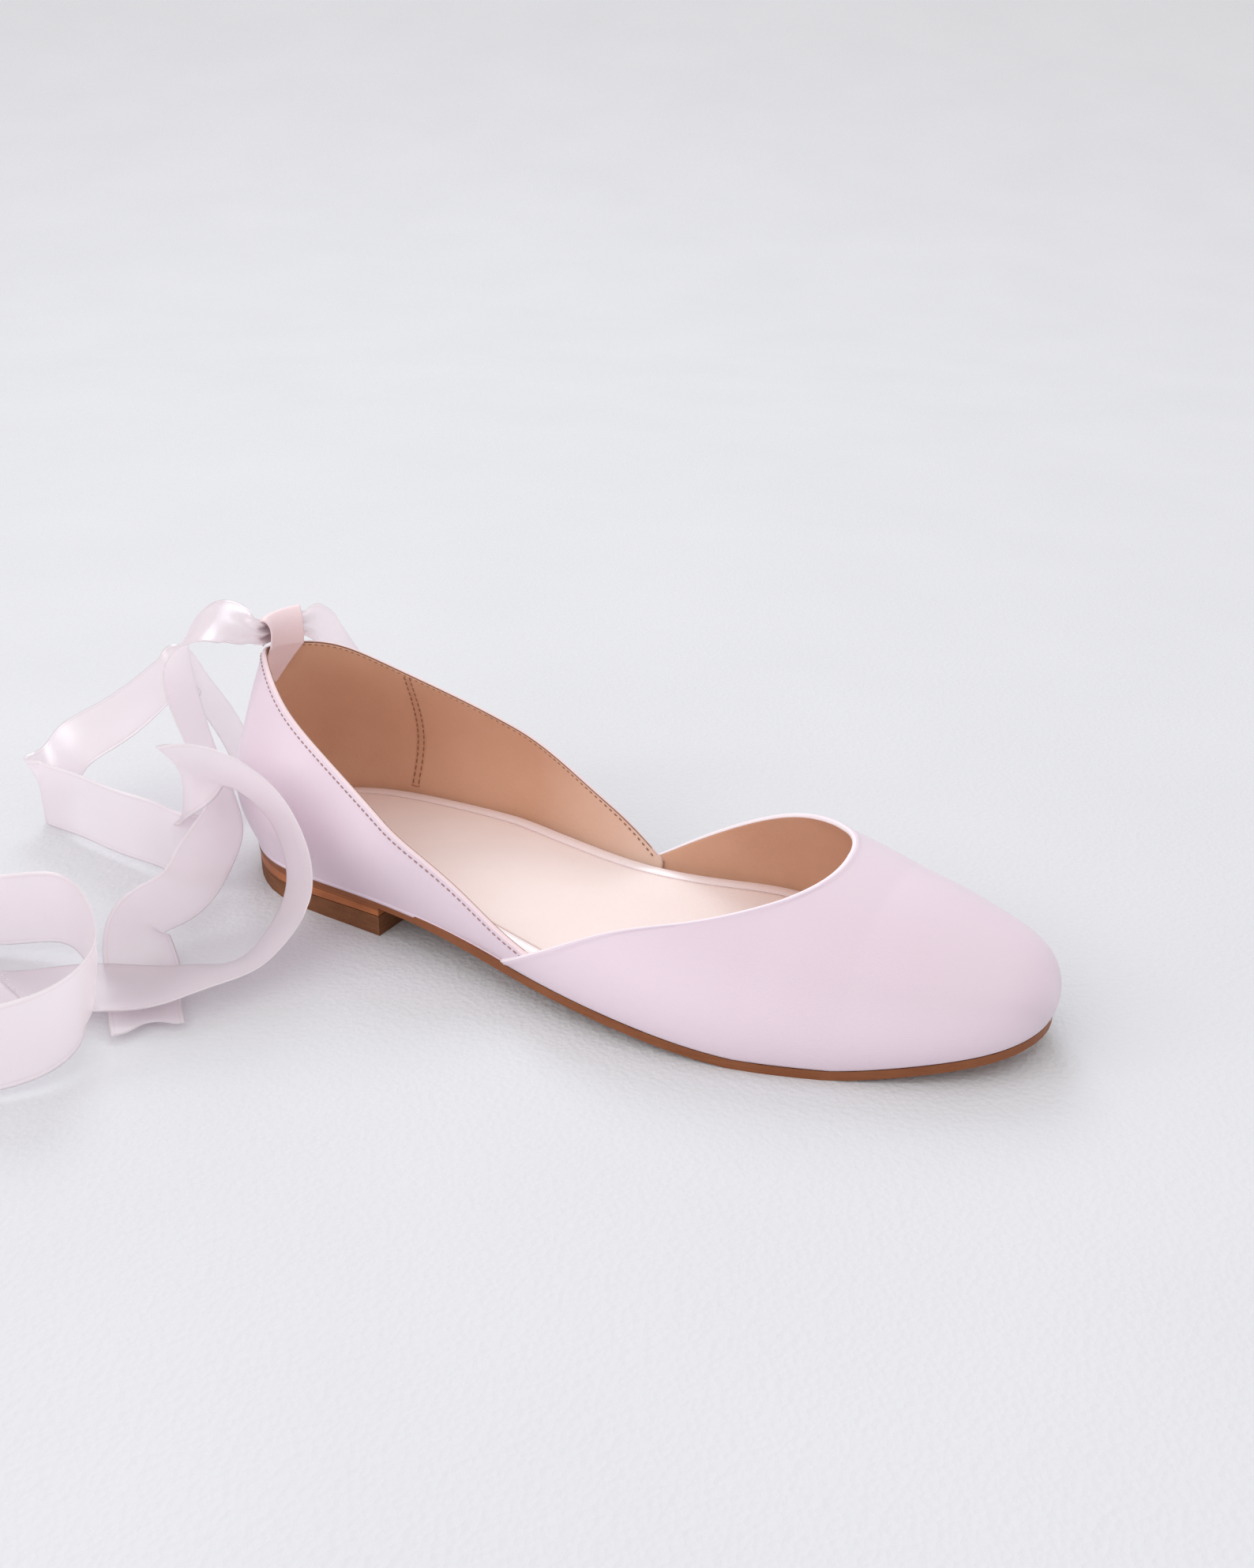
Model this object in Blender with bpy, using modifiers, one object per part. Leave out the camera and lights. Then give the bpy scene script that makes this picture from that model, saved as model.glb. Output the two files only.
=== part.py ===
"""Ribbon-tie D'Orsay ballet flat, right shoe, standing on its sole.

+X points to the toe, +Y to the inner (medial) side and +Z up, in metres.
Tables are in millimetres, measured from the back of the heel on the floor.
"""
import bpy
import numpy as np

MM = 0.001

# Driving sizes, in millimetres.
LENGTH = 250.0              # furthest back of the upper to the toe of the sole
HEEL_BACK = 2.6             # the upper overhangs the sole by this much at the back
SOLE_THICKNESS = 2.6
WALL = 1.5                  # upper: satin, backer and lining together
GAP = 0.3                   # between curved pieces that meet
HEEL_LENGTH = 68.0          # back of the heel to its breast
HEEL_INSET = 0.4            # heel, inside the sole's outline
LIFT_BACK, LIFT_FRONT = 4.3, 6.2    # height of the top lift at both ends of the heel
INSOLE_THICKNESS = 3.4
INSOLE_INSET = WALL + 0.4   # insole edge, inside the sole's outline
WAIST_INSET = 3.2           # the same where the upper lies double
TUCK = 1.0                  # quarter tip, inside the vamp's outer face
FULLNESS = 1.9              # how far the vamp swells over the sole's edge
SWELL_HEIGHT = 30.0         # the swell fades out at this height above the sole

# Sole outline. Share runs 0 at the heel to 1 at the toe, closer spaced at both ends.
#         share  outer y  inner y
OUTLINE = ((0.0, -1.4, -1.4),
           (0.1, -15.2, 14.2),
           (0.2, -27.9, 25.8),
           (0.3, -31.5, 29.8),
           (0.4, -34.4, 30.8),
           (0.5, -40.8, 31.5),
           (0.6, -43.3, 43.6),
           (0.7, -35.1, 43.1),
           (0.8, -22.5, 33.6),
           (0.9, -8.4, 23.8),
           (1.0, 9.0, 9.0))

# Height of the sole's upper face: heel seat, waist, tread and toe spring.
#           x      height
SOLE_RISE = ((0.0, 11.2),
             (50.0, 11.9),
             (90.0, 11.0),
             (125.0, 7.9),
             (160.0, 5.2),
             (186.0, 2.5),
             (206.0, 2.5),
             (225.0, 5.0),
             (250.0, 9.0))

# Cross sections of the forefoot, along the same share as the outline.
#         share  crest    crest   outer      inner
#                across   height  roundness  roundness
FOREFOOT = ((0.32, 0.52, 57.3, 2.15, 2.40),
            (0.44, 0.56, 55.3, 1.95, 2.50),
            (0.52, 0.57, 49.0, 1.72, 2.48),
            (0.60, 0.57, 45.0, 1.73, 2.40),
            (0.68, 0.56, 39.0, 1.87, 2.34),
            (0.76, 0.57, 32.5, 1.86, 2.33),
            (0.84, 0.59, 24.6, 1.76, 2.36),
            (0.92, 0.58, 15.8, 1.78, 2.36),
            (1.00, 0.50, 0.0, 2.00, 2.20))

# Top edge of the vamp, from its outer tip over the throat to its inner tip.
# Across runs 0 at the outer sole edge, 1 on the crest, 2 at the inner sole edge.
#            share  across
VAMP_EDGE = ((0.468, 0.00),
             (0.543, 0.30),
             (0.602, 0.45),
             (0.654, 0.64),
             (0.681, 0.90),
             (0.660, 1.26),
             (0.591, 1.61),
             (0.510, 1.92),
             (0.468, 2.00))

# How far the quarter leans out from the sole's edge, by height above the sole.
#                height  back   outer  inner
QUARTER_LEAN = ((0.0, 0.0, 0.0, 0.0),
                (8.0, 3.6, 2.7, 2.7),
                (18.0, 5.2, 4.6, 4.8),
                (30.0, 3.2, 1.2, 1.9),
                (45.0, -0.6, -6.8, -6.0),
                (60.0, -5.6, -12.6, -12.6),
                (75.0, -10.8, -15.1, -15.6))

# Top edge of the quarter, as height above the sole, from the back to both front tips.
#               share  outer  inner
QUARTER_EDGE = ((0.00, 56.4, 56.4),
                (0.08, 56.1, 55.9),
                (0.16, 51.4, 54.0),
                (0.24, 43.6, 47.6),
                (0.32, 33.2, 38.3),
                (0.40, 20.5, 26.6),
                (0.46, 10.2, 16.8),
                (0.50, 6.2, 4.0))
QUARTER_END = QUARTER_EDGE[-1][0]
BACK_REACH = 0.16           # share over which the back's lean fades into the sides'
TUCK_START, TUCK_END = 0.36, 0.46   # share over which the quarter dives under the vamp

# Loop of folded ribbon over the back of the quarter's edge, sewn in at its inner leaf.
#              up from   out from the
#              the edge  outer face
LOOP_PROFILE = ((-10.0, -2.4),
                (-5.0, -2.4),
                (-1.0, -2.5),
                (1.6, -2.9),
                (4.2, -3.2),
                (6.6, -2.9),
                (8.1, -1.9),
                (8.6, -0.8),
                (8.1, 0.3),
                (6.6, 1.1),
                (4.8, 1.2),
                (2.7, 0.7),
                (0.9, -0.4))
LOOP_SPAN = (-0.080, 0.046) # turns that the loop covers, inner side negative
LOOP_LEAF = 0.7             # thickness
LOOP_TILT = 2.2             # how much taller the loop gets per turn towards its inner end

# Mesh density.
SOLE_STATIONS = 44
HEEL_STATIONS = 16
SLAB_COLUMNS = 4
LOOP_COLUMNS, LOOP_ROWS = 13, 22
VAMP_COLUMNS, VAMP_ROWS = 36, 20
QUARTER_COLUMNS, QUARTER_ROWS = 52, 8

RIBBON_WIDTH = 22.0
RIBBON_THICKNESS = 0.5
RIBBON_STEP = 4.0
RIBBON_COLUMNS = 4
# Route of each free half of the ribbon: x, y, z of its middle, heading and tilt in degrees of the
# line across it, and the share of its width that is spread out.
OUTER_RIBBON = (
    (8.1, 1.0, 73.2, -61, -89, 0.16), (8.4, -3.5, 73.3, -61, -89, 0.15),
    (8.7, -8.0, 73.6, -61, -87, 0.17), (7.8, -10.5, 74.9, -58, -65, 0.32),
    (3.5, -11.5, 77.5, -45, -10, 1.00), (-2.0, -16.0, 78.0, -46, -6, 1.00),
    (-7.5, -19.0, 75.0, -47, 1, 1.00), (-11.0, -21.0, 69.5, -57, 6, 1.00),
    (-11.5, -21.5, 61.0, -74, 12, 0.85), (-7.0, -24.0, 52.0, -89, 11, 0.60),
    (1.0, -28.0, 43.5, -98, 10, 0.44), (10.5, -33.0, 36.0, -102, 11, 0.45),
    (15.5, -35.5, 31.0, -109, 18, 0.44), (22.0, -43.5, 27.5, -104, 27, 0.68),
    (24.5, -55.0, 21.5, -101, 40, 1.00), (24.5, -66.5, 16.0, -88, 55, 1.00),
    (20.5, -77.0, 13.0, -66, 54, 1.00), (24.5, -81.0, 3.9, -130, 0, 0.92),
    (36.5, -92.0, 2.2, -133, 0, 0.86), (49.0, -103.0, 2.0, -138, 0, 0.84))
INNER_RIBBON = (
    (9.0, 3.0, 72.5, 119, 89, 0.20), (11.5, 6.5, 73.0, 119, 89, 0.22),
    (12.0, 12.0, 72.0, 128, 45, 0.38), (10.0, 18.5, 68.5, 126, 28, 0.75),
    (7.5, 25.5, 61.5, 123, 23, 1.00), (5.0, 32.5, 55.0, 110, 12, 1.00),
    (8.5, 39.0, 43.0, 116, 0, 1.00), (9.0, 41.5, 25.0, 116, 0, 1.00),
    (3.5, 39.0, 8.0, 119, 0, 1.00), (-12.5, 31.0, 3.0, 119, 0, 1.00),
    (-26.5, 22.5, 11.0, 119, 0, 1.00), (-32.0, 17.5, 27.0, 119, 3, 1.00),
    (-36.5, 11.5, 41.0, 125, 6, 1.00), (-35.0, 3.5, 51.0, 139, 18, 1.00),
    (-41.5, -6.0, 44.0, 146, 20, 1.00), (-54.5, -15.5, 32.5, 156, 16, 1.00),
    (-66.0, -22.0, 21.5, 160, 17, 1.00), (-70.5, -24.5, 13.5, 138, 72, 1.00),
    (-72.5, -29.5, 12.0, 0, 90, 1.00), (-67.0, -31.0, 12.0, 0, 90, 1.00),
    (-48.0, -32.5, 13.0, 119, 87, 1.00), (-28.5, -35.0, 13.0, 119, 87, 1.00),
    (-10.5, -37.0, 14.0, 119, 87, 1.00), (4.5, -40.0, 15.0, 119, 87, 1.00),
    (10.0, -38.0, 16.0, 0, 90, 1.00), (11.0, -33.0, 18.0, 0, 90, 1.00),
    (6.5, -28.5, 21.5, 0, 90, 1.00), (1.5, -29.0, 25.5, 0, 90, 1.00),
    (7.0, -42.5, 38.5, -49, 67, 1.00), (17.0, -46.0, 47.0, -42, 50, 1.00),
    (26.0, -44.0, 47.0, -38, 43, 1.00), (34.5, -41.5, 42.5, -34, 41, 1.00),
    (43.5, -42.0, 36.5, -29, 35, 1.00), (49.0, -43.5, 30.0, -27, 29, 1.00),
    (53.0, -46.0, 23.0, -28, 24, 1.00), (53.0, -49.5, 14.0, -25, 22, 1.00),
    (53.5, -57.0, 9.5, -26, 24, 1.00), (52.5, -67.0, 5.5, -30, 25, 1.00),
    (47.0, -82.0, 6.5, -46, 12, 1.00), (42.0, -89.0, 5.5, -55, 0, 1.00),
    (24.5, -100.0, 5.0, -55, -2, 1.00), (-2.0, -111.5, 4.0, -55, 6, 1.00),
    (-21.0, -114.0, 12.0, -72, 57, 1.00), (-29.0, -105.5, 12.0, -61, 84, 1.00),
    (-11.5, -91.0, 14.0, -61, 89, 1.00), (-1.0, -86.5, 15.5, -180, 90, 1.00),
    (15.5, -91.5, 17.0, 74, 86, 1.00), (38.0, -107.5, 18.5, 29, 82, 1.00),
    (46.0, -120.0, 18.5, 41, 77, 1.00), (43.5, -131.0, 14.5, 68, 73, 1.00),
    (37.5, -139.0, 13.0, 88, 75, 1.00), (20.0, -152.5, 12.0, 0, 90, 1.00),
    (9.5, -148.5, 12.0, 0, 90, 1.00), (4.0, -136.5, 12.5, 0, 90, 1.00),
    (9.0, -123.0, 13.0, 0, 90, 1.00), (22.5, -113.5, 13.5, 0, 90, 1.00))


def spline(knots, values):
    """Natural cubic through the rows, as a function of a number or an array."""
    knots = np.asarray(knots, float)
    values = np.asarray(values, float)
    last = len(knots) - 1
    step = np.diff(knots)
    slope = np.diff(values) / step
    system = np.eye(last + 1)
    bends = np.zeros(last + 1)
    for i in range(1, last):
        system[i, i - 1:i + 2] = step[i - 1], 2 * (step[i - 1] + step[i]), step[i]
        bends[i] = 6 * (slope[i] - slope[i - 1])
    bend = np.linalg.solve(system, bends)

    def at(x):
        x = np.asarray(x, float)
        i = np.clip(np.searchsorted(knots, x, side="right") - 1, 0, last - 1)
        b = (x - knots[i]) / step[i]
        a = 1 - b
        curve = ((a ** 3 - a) * bend[i] + (b ** 3 - b) * bend[i + 1]) * step[i] ** 2 / 6
        return a * values[i] + b * values[i + 1] + curve
    return at


def columns(table):
    return np.array(table, float).T


def closed_outline():
    """y of the sole's edge by turn: 0..1 heel to toe outside, 1..2 toe to heel inside."""
    share, outer, inner = columns(OUTLINE)
    turns = np.concatenate([share, 2 - share[-2::-1]])
    widths = np.concatenate([outer, inner[-2::-1]])
    wrap = 4
    turns = np.concatenate([turns[-1 - wrap:-1] - 2, turns, turns[1:1 + wrap] + 2])
    widths = np.concatenate([widths[-1 - wrap:-1], widths, widths[1:1 + wrap]])
    return spline(turns, widths)


edge_y = closed_outline()
sole_rise = spline(*columns(SOLE_RISE))
section_share, *section_columns = columns(FOREFOOT)
crest_across, crest_height, outer_round, inner_round = (
    spline(section_share, column) for column in section_columns)
lean_height, *lean_columns = columns(QUARTER_LEAN)
back_lean, outer_lean, inner_lean = (spline(lean_height, column) for column in lean_columns)
edge_share, *edge_columns = columns(QUARTER_EDGE)
outer_edge_height, inner_edge_height = (spline(edge_share, column) for column in edge_columns)
vamp_edge_share, vamp_edge_across = (
    spline(np.linspace(0, 1, len(VAMP_EDGE)), column) for column in columns(VAMP_EDGE))


def along(share):
    return HEEL_BACK + (LENGTH - HEEL_BACK) * (1 - np.cos(np.pi * share)) / 2


def share_at(x):
    return np.arccos(1 - 2 * (x - HEEL_BACK) / (LENGTH - HEEL_BACK)) / np.pi


def sole_top(x):
    return np.maximum(sole_rise(x), SOLE_THICKNESS)


def sole_bottom(x):
    return sole_top(x) - SOLE_THICKNESS


def edge_point(turn):
    turn = np.mod(turn, 2)
    x = along(turn)
    return np.stack([x, edge_y(turn), sole_top(x) + GAP], -1)


def edge_outward(turn):
    """Outward direction of the sole's edge in plan."""
    step = 0.001
    ahead = edge_point(turn + step) - edge_point(turn - step)
    outward = np.stack([ahead[..., 1], -ahead[..., 0]], -1)
    return outward / np.linalg.norm(outward, axis=-1, keepdims=True)


def ease(value, start, end):
    share = np.clip((value - start) / (end - start), 0, 1)
    return share * share * (3 - 2 * share)


def swell(height):
    """Outward fullness, greatest at a third of the swell's height."""
    rise = np.clip(height / SWELL_HEIGHT, 0, 1)
    return FULLNESS * 6.75 * rise * (1 - rise) ** 2


def vamp(share, across):
    """Outer face of the vamp."""
    outside = across <= 1
    angle = across * np.pi / 2
    outer = edge_y(share)
    inner = edge_y(2 - share)
    crest = outer + (inner - outer) * crest_across(share)
    power = 2 / np.where(outside, outer_round(share), inner_round(share))
    rise = np.abs(np.sin(angle)) ** power
    reach = np.where(outside, outer - crest, inner - crest) * np.abs(np.cos(angle)) ** power
    height = crest_height(share) * rise
    over = ease(across, 0, 2)[..., None]
    outward = (1 - over) * edge_outward(share) + over * edge_outward(2 - share)
    outward = outward * swell(height)[..., None]
    x = along(share)
    return np.stack([x + outward[..., 0],
                     crest + reach + outward[..., 1],
                     sole_top(x) + GAP + height], -1)


def vamp_lean(share, height, outside):
    """Outward lean of the vamp's outer face at a height above the sole."""
    outer = edge_y(share)
    inner = edge_y(2 - share)
    crest = outer + (inner - outer) * crest_across(share)
    rise = np.clip(height / crest_height(share), 0, 0.999)
    power = np.where(outside, outer_round(share), inner_round(share))
    half = np.where(outside, crest - outer, inner - crest)
    return swell(height) - half * (1 - (1 - rise ** power) ** (1 / power))


def quarter_edge_height(turn):
    share = np.abs(turn)
    return np.where(turn >= 0, outer_edge_height(share), inner_edge_height(share))


def quarter(turn, height, out=0.0):
    """Outer face of the quarter: turn from the back (+ outside), height above the sole."""
    share = np.abs(turn)
    outside = turn >= 0
    back = np.exp(-(share / BACK_REACH) ** 2)
    side = np.where(outside, outer_lean(height), inner_lean(height))
    lean = back * back_lean(height) + (1 - back) * side
    tucked = ease(share, TUCK_START, TUCK_END)
    lean = (1 - tucked) * lean + tucked * (vamp_lean(share, height, outside) - TUCK)
    foot = edge_point(turn)
    outward = edge_outward(turn) * (lean + out)[..., None]
    return np.stack([foot[..., 0] + outward[..., 0],
                     foot[..., 1] + outward[..., 1],
                     foot[..., 2] + height], -1)


def make_object(name, vertices, faces, collection):
    mesh = bpy.data.meshes.new(name)
    mesh.from_pydata((np.asarray(vertices) * MM).tolist(), [], faces)
    mesh.validate()
    thing = bpy.data.objects.new(name, mesh)
    collection.objects.link(thing)
    return thing


def grid_faces(rows, cols):
    """Quads of a grid of rows x cols vertices, numbered row by row."""
    return [(r * cols + c, r * cols + c + 1, (r + 1) * cols + c + 1, (r + 1) * cols + c)
            for r in range(rows - 1) for c in range(cols - 1)]


def smooth(thing, angle=35.0):
    thing.data.shade_smooth()
    thing.data.set_sharp_from_angle(angle=np.radians(angle))


def add_wall(thing):
    wall = thing.modifiers.new("wall", "SOLIDIFY")
    wall.thickness = WALL * MM
    wall.offset = -1


def slab(name, shares, inset, bottom, top, collection):
    """Solid between two heights that depend on x, inside the sole's inset outline."""
    share = np.asarray(shares)
    outer = edge_point(share)[:, :2] - edge_outward(share) * inset(share)[:, None]
    inner = edge_point(2 - share)[:, :2] - edge_outward(2 - share) * inset(share)[:, None]
    blend = np.linspace(0, 1, SLAB_COLUMNS)[None, :, None]
    plan = outer[:, None] * (1 - blend) + inner[:, None] * blend
    plan = plan.reshape(-1, 2)
    low = np.column_stack([plan, bottom(plan[:, 0])])
    high = np.column_stack([plan, top(plan[:, 0])])
    rows = len(share)
    cols = SLAB_COLUMNS
    count = rows * cols
    sheet = grid_faces(rows, cols)
    faces = sheet + [tuple(i + count for i in reversed(face)) for face in sheet]
    rim = ([r * cols for r in range(rows)]
           + [(rows - 1) * cols + c for c in range(1, cols)]
           + [r * cols + cols - 1 for r in range(rows - 2, -1, -1)]
           + list(range(cols - 2, 0, -1)))
    for here, there in zip(rim, rim[1:] + rim[:1]):
        faces.append((here, there, there + count, here + count))
    thing = make_object(name, np.concatenate([low, high]), faces, collection)
    close_poles(thing)
    return thing


def close_poles(thing):
    """Weld the rows that shrink to one point at the heel or the toe."""
    weld = thing.modifiers.new("poles", "WELD")
    weld.merge_threshold = 0.00001


def upper(collection, operands):
    u = np.linspace(0, 1, VAMP_COLUMNS)[None, :]
    v = np.linspace(0, 1, VAMP_ROWS)[:, None] ** 0.9
    share = vamp_edge_share(u) + v * (1 - vamp_edge_share(u))
    across = np.broadcast_to(vamp_edge_across(u), share.shape)
    vertices = vamp(share, across).reshape(-1, 3)
    faces = [face[::-1] for face in grid_faces(VAMP_ROWS, VAMP_COLUMNS)]
    front = make_object("upper", vertices, faces, collection)
    close_poles(front)
    add_wall(front)

    turn = np.linspace(-QUARTER_END, QUARTER_END, QUARTER_COLUMNS)[None, :]
    part = np.linspace(0, 1, QUARTER_ROWS)[:, None]
    vertices = quarter(turn + 0 * part, part * quarter_edge_height(turn)).reshape(-1, 3)
    rear = make_object("quarter_panel", vertices, grid_faces(QUARTER_ROWS, QUARTER_COLUMNS), operands)
    add_wall(rear)
    rear.hide_render = True
    rear.display_type = "WIRE"

    join = front.modifiers.new("join_quarter", "BOOLEAN")
    join.operation = "UNION"
    join.solver = "EXACT"
    join.object = rear
    smooth(front)
    return front


def heel_loop(collection):
    rise, out = columns(LOOP_PROFILE)
    length = np.concatenate([[0], np.cumsum(np.hypot(np.diff(rise), np.diff(out)))])
    walk = np.linspace(0, length[-1], LOOP_ROWS)
    rise = spline(length, rise)(walk)[:, None]
    out = spline(length, out)(walk)[:, None]
    turn = np.linspace(*LOOP_SPAN, LOOP_COLUMNS)[None, :] + 0 * rise
    edge = quarter_edge_height(turn)
    vertices = quarter(turn, edge + np.minimum(rise, 0), out)
    vertices[..., 2] += np.maximum(rise, 0) * (1 + LOOP_TILT * (LOOP_SPAN[1] - turn))
    loop = make_object("heel_loop", vertices.reshape(-1, 3),
                       grid_faces(LOOP_ROWS, LOOP_COLUMNS), collection)
    leaf = loop.modifiers.new("leaf", "SOLIDIFY")
    leaf.thickness = LOOP_LEAF * MM
    leaf.offset = 0
    smooth(loop)
    return loop


def ribbon(name, route, collection):
    """Flat strip along a route, its line across kept square to the way it runs."""
    x, y, z, heading, tilt, share = columns(route)
    heading, tilt = np.radians(heading), np.radians(tilt)
    middle = np.stack([x, y, z], 1)
    across = np.stack([np.cos(heading) * np.cos(tilt), np.sin(heading) * np.cos(tilt), np.sin(tilt)], 1)
    walk = np.concatenate([[0], np.cumsum(np.linalg.norm(np.diff(middle, axis=0), axis=1))])
    stations = np.linspace(0, walk[-1], round(walk[-1] / RIBBON_STEP) + 1)
    middle = np.stack([spline(walk, column)(stations) for column in middle.T], 1)
    across = np.stack([spline(walk, column)(stations) for column in across.T], 1)
    ahead = np.gradient(middle, axis=0)
    ahead /= np.linalg.norm(ahead, axis=1, keepdims=True)
    across -= ahead * (across * ahead).sum(1, keepdims=True)
    across *= (np.interp(stations, walk, share) / np.linalg.norm(across, axis=1))[:, None]
    offsets = np.linspace(-0.5, 0.5, RIBBON_COLUMNS) * RIBBON_WIDTH
    vertices = middle[:, None] + across[:, None] * offsets[:, None]
    strip = make_object(name, vertices.reshape(-1, 3),
                        grid_faces(len(stations), RIBBON_COLUMNS), collection)
    body = strip.modifiers.new("body", "SOLIDIFY")
    body.thickness = RIBBON_THICKNESS * MM
    body.offset = 0
    smooth(strip)
    return strip


def paint(thing, colour, roughness):
    material = bpy.data.materials.new(thing.name)
    material.use_nodes = True
    shader = material.node_tree.nodes["Principled BSDF"]
    shader.inputs["Base Color"].default_value = (*colour, 1)
    shader.inputs["Roughness"].default_value = roughness
    shader.inputs["Metallic"].default_value = 0
    thing.data.materials.append(material)


def stand_on_origin(things):
    """Move the things so that the middle of their box's floor is the origin."""
    graph = bpy.context.evaluated_depsgraph_get()
    corners = np.array([corner[:] for thing in things for corner in thing.evaluated_get(graph).bound_box])
    middle = (corners.min(0) + corners.max(0)) / 2
    frame = bpy.data.objects.new("shoe_frame", None)
    bpy.context.scene.collection.objects.link(frame)
    frame.location = (-middle[0], -middle[1], 0)
    return frame


def main():
    for thing in list(bpy.data.objects):
        bpy.data.objects.remove(thing, do_unlink=True)
    shoe = bpy.data.collections.new("ballet_flat")
    operands = bpy.data.collections.new("operands")
    for collection in (shoe, operands):
        bpy.context.scene.collection.children.link(collection)
    shares = np.linspace(0, 1, SOLE_STATIONS)
    heel_shares = np.linspace(0, share_at(HEEL_LENGTH), HEEL_STATIONS)

    def lift_top(x):
        return LIFT_BACK + (LIFT_FRONT - LIFT_BACK) * x / HEEL_LENGTH

    def level(height):
        return lambda x: height + 0 * x

    def even(inset):
        return lambda share: inset + 0 * share

    def insole_inset(share):
        waist = ease(share, 0.36, 0.42) * (1 - ease(share, 0.53, 0.60))
        return INSOLE_INSET + (WAIST_INSET - INSOLE_INSET) * waist

    outsole = slab("outsole", shares, even(0), sole_bottom, sole_top, shoe)
    stack = slab("heel_stack", heel_shares, even(HEEL_INSET), lambda x: lift_top(x) + GAP,
                 lambda x: sole_bottom(x) - GAP, shoe)
    lift = slab("heel_top_lift", heel_shares, even(HEEL_INSET), level(0.0), lift_top, shoe)
    insole = slab("insole", shares, insole_inset, lambda x: sole_top(x) + GAP,
                  lambda x: sole_top(x) + GAP + INSOLE_THICKNESS, shoe)
    satin = upper(shoe, operands)
    loop = heel_loop(shoe)
    bpy.context.view_layer.update()
    frame = stand_on_origin(shoe.objects)
    outer_half = ribbon("ribbon_outer", OUTER_RIBBON, shoe)
    inner_half = ribbon("ribbon_inner", INNER_RIBBON, shoe)
    for thing, colour, roughness in ((outsole, (0.26, 0.09, 0.035), 0.5),
                                     (stack, (0.30, 0.10, 0.035), 0.5),
                                     (lift, (0.10, 0.055, 0.03), 0.6),
                                     (insole, (0.83, 0.68, 0.62), 0.6),
                                     (satin, (0.80, 0.69, 0.76), 0.4),
                                     (loop, (0.80, 0.62, 0.66), 0.4),
                                     (outer_half, (0.84, 0.74, 0.80), 0.35),
                                     (inner_half, (0.84, 0.74, 0.80), 0.35)):
        paint(thing, colour, roughness)
    for thing in list(shoe.objects) + list(operands.objects):
        thing.parent = frame


main()
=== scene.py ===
"""Looks of the ribbon-tied ballet flat: satin, leather, stitching and the two loose ribbon halves.

Tables and shape functions are in millimetres, measured from the back of the sole on the floor,
as in the CAD source. shoe_shift() carries them to the row frame, which is in metres.
"""
import math

import bpy
import numpy as np
from mathutils import Matrix, Vector


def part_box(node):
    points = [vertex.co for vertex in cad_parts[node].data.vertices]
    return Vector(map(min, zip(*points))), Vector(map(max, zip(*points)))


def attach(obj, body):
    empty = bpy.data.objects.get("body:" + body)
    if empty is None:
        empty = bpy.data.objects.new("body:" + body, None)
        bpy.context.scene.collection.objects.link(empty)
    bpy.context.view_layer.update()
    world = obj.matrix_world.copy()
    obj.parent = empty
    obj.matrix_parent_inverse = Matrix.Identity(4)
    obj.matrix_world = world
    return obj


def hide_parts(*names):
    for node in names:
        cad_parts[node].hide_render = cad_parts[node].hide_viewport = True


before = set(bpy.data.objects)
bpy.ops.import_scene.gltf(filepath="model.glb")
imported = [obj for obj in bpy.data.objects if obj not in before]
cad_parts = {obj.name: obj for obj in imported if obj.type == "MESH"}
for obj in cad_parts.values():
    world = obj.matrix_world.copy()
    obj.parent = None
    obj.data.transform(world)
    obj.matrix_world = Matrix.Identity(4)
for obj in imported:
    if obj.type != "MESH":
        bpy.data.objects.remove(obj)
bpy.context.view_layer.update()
scene = bpy.context.scene

MM = 0.001
SEED = 7  # of the loose threads at the ribbon's cut end

# Driving sizes.
LENGTH = 250.0  # back of the upper to the toe of the sole
HEEL_BACK = 2.6  # the upper overhangs the sole by this much at the back
SOLE_THICKNESS = 2.6
WALL = 1.5  # upper: satin, backer and lining together
GAP = 0.3  # between curved pieces that meet
INSOLE_THICKNESS = 3.4
INSOLE_INSET = WALL + 0.4  # insole edge, inside the sole's outline
WAIST_INSET = 3.2  # the same where the upper lies double
TUCK = 1.0  # quarter tip, inside the vamp's outer face
FULLNESS = 1.9  # how far the vamp swells over the sole's edge
SWELL_HEIGHT = 30.0  # the swell fades out at this height above the sole

# Sole outline: share of the length, outer y, inner y.
OUTLINE = ((0.0, -1.4, -1.4), (0.1, -15.2, 14.2), (0.2, -27.9, 25.8), (0.3, -31.5, 29.8),
           (0.4, -34.4, 30.8), (0.5, -40.8, 31.5), (0.6, -43.3, 43.6), (0.7, -35.1, 43.1),
           (0.8, -22.5, 33.6), (0.9, -8.4, 23.8), (1.0, 9.0, 9.0))
# Height of the sole's upper face: x, height.
SOLE_RISE = ((0.0, 11.2), (50.0, 11.9), (90.0, 11.0), (125.0, 7.9), (160.0, 5.2),
             (186.0, 2.5), (206.0, 2.5), (225.0, 5.0), (250.0, 9.0))
# Sections of the forefoot: share, crest's place across, its height, outer and inner roundness.
FOREFOOT = ((0.32, 0.52, 57.3, 2.15, 2.4), (0.44, 0.56, 55.3, 1.95, 2.5),
            (0.52, 0.57, 49.0, 1.72, 2.48), (0.6, 0.57, 45.0, 1.73, 2.4),
            (0.68, 0.56, 39.0, 1.87, 2.34), (0.76, 0.57, 32.5, 1.86, 2.33),
            (0.84, 0.59, 24.6, 1.76, 2.36), (0.92, 0.58, 15.8, 1.78, 2.36),
            (1.0, 0.5, 0.0, 2.0, 2.2))
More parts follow.
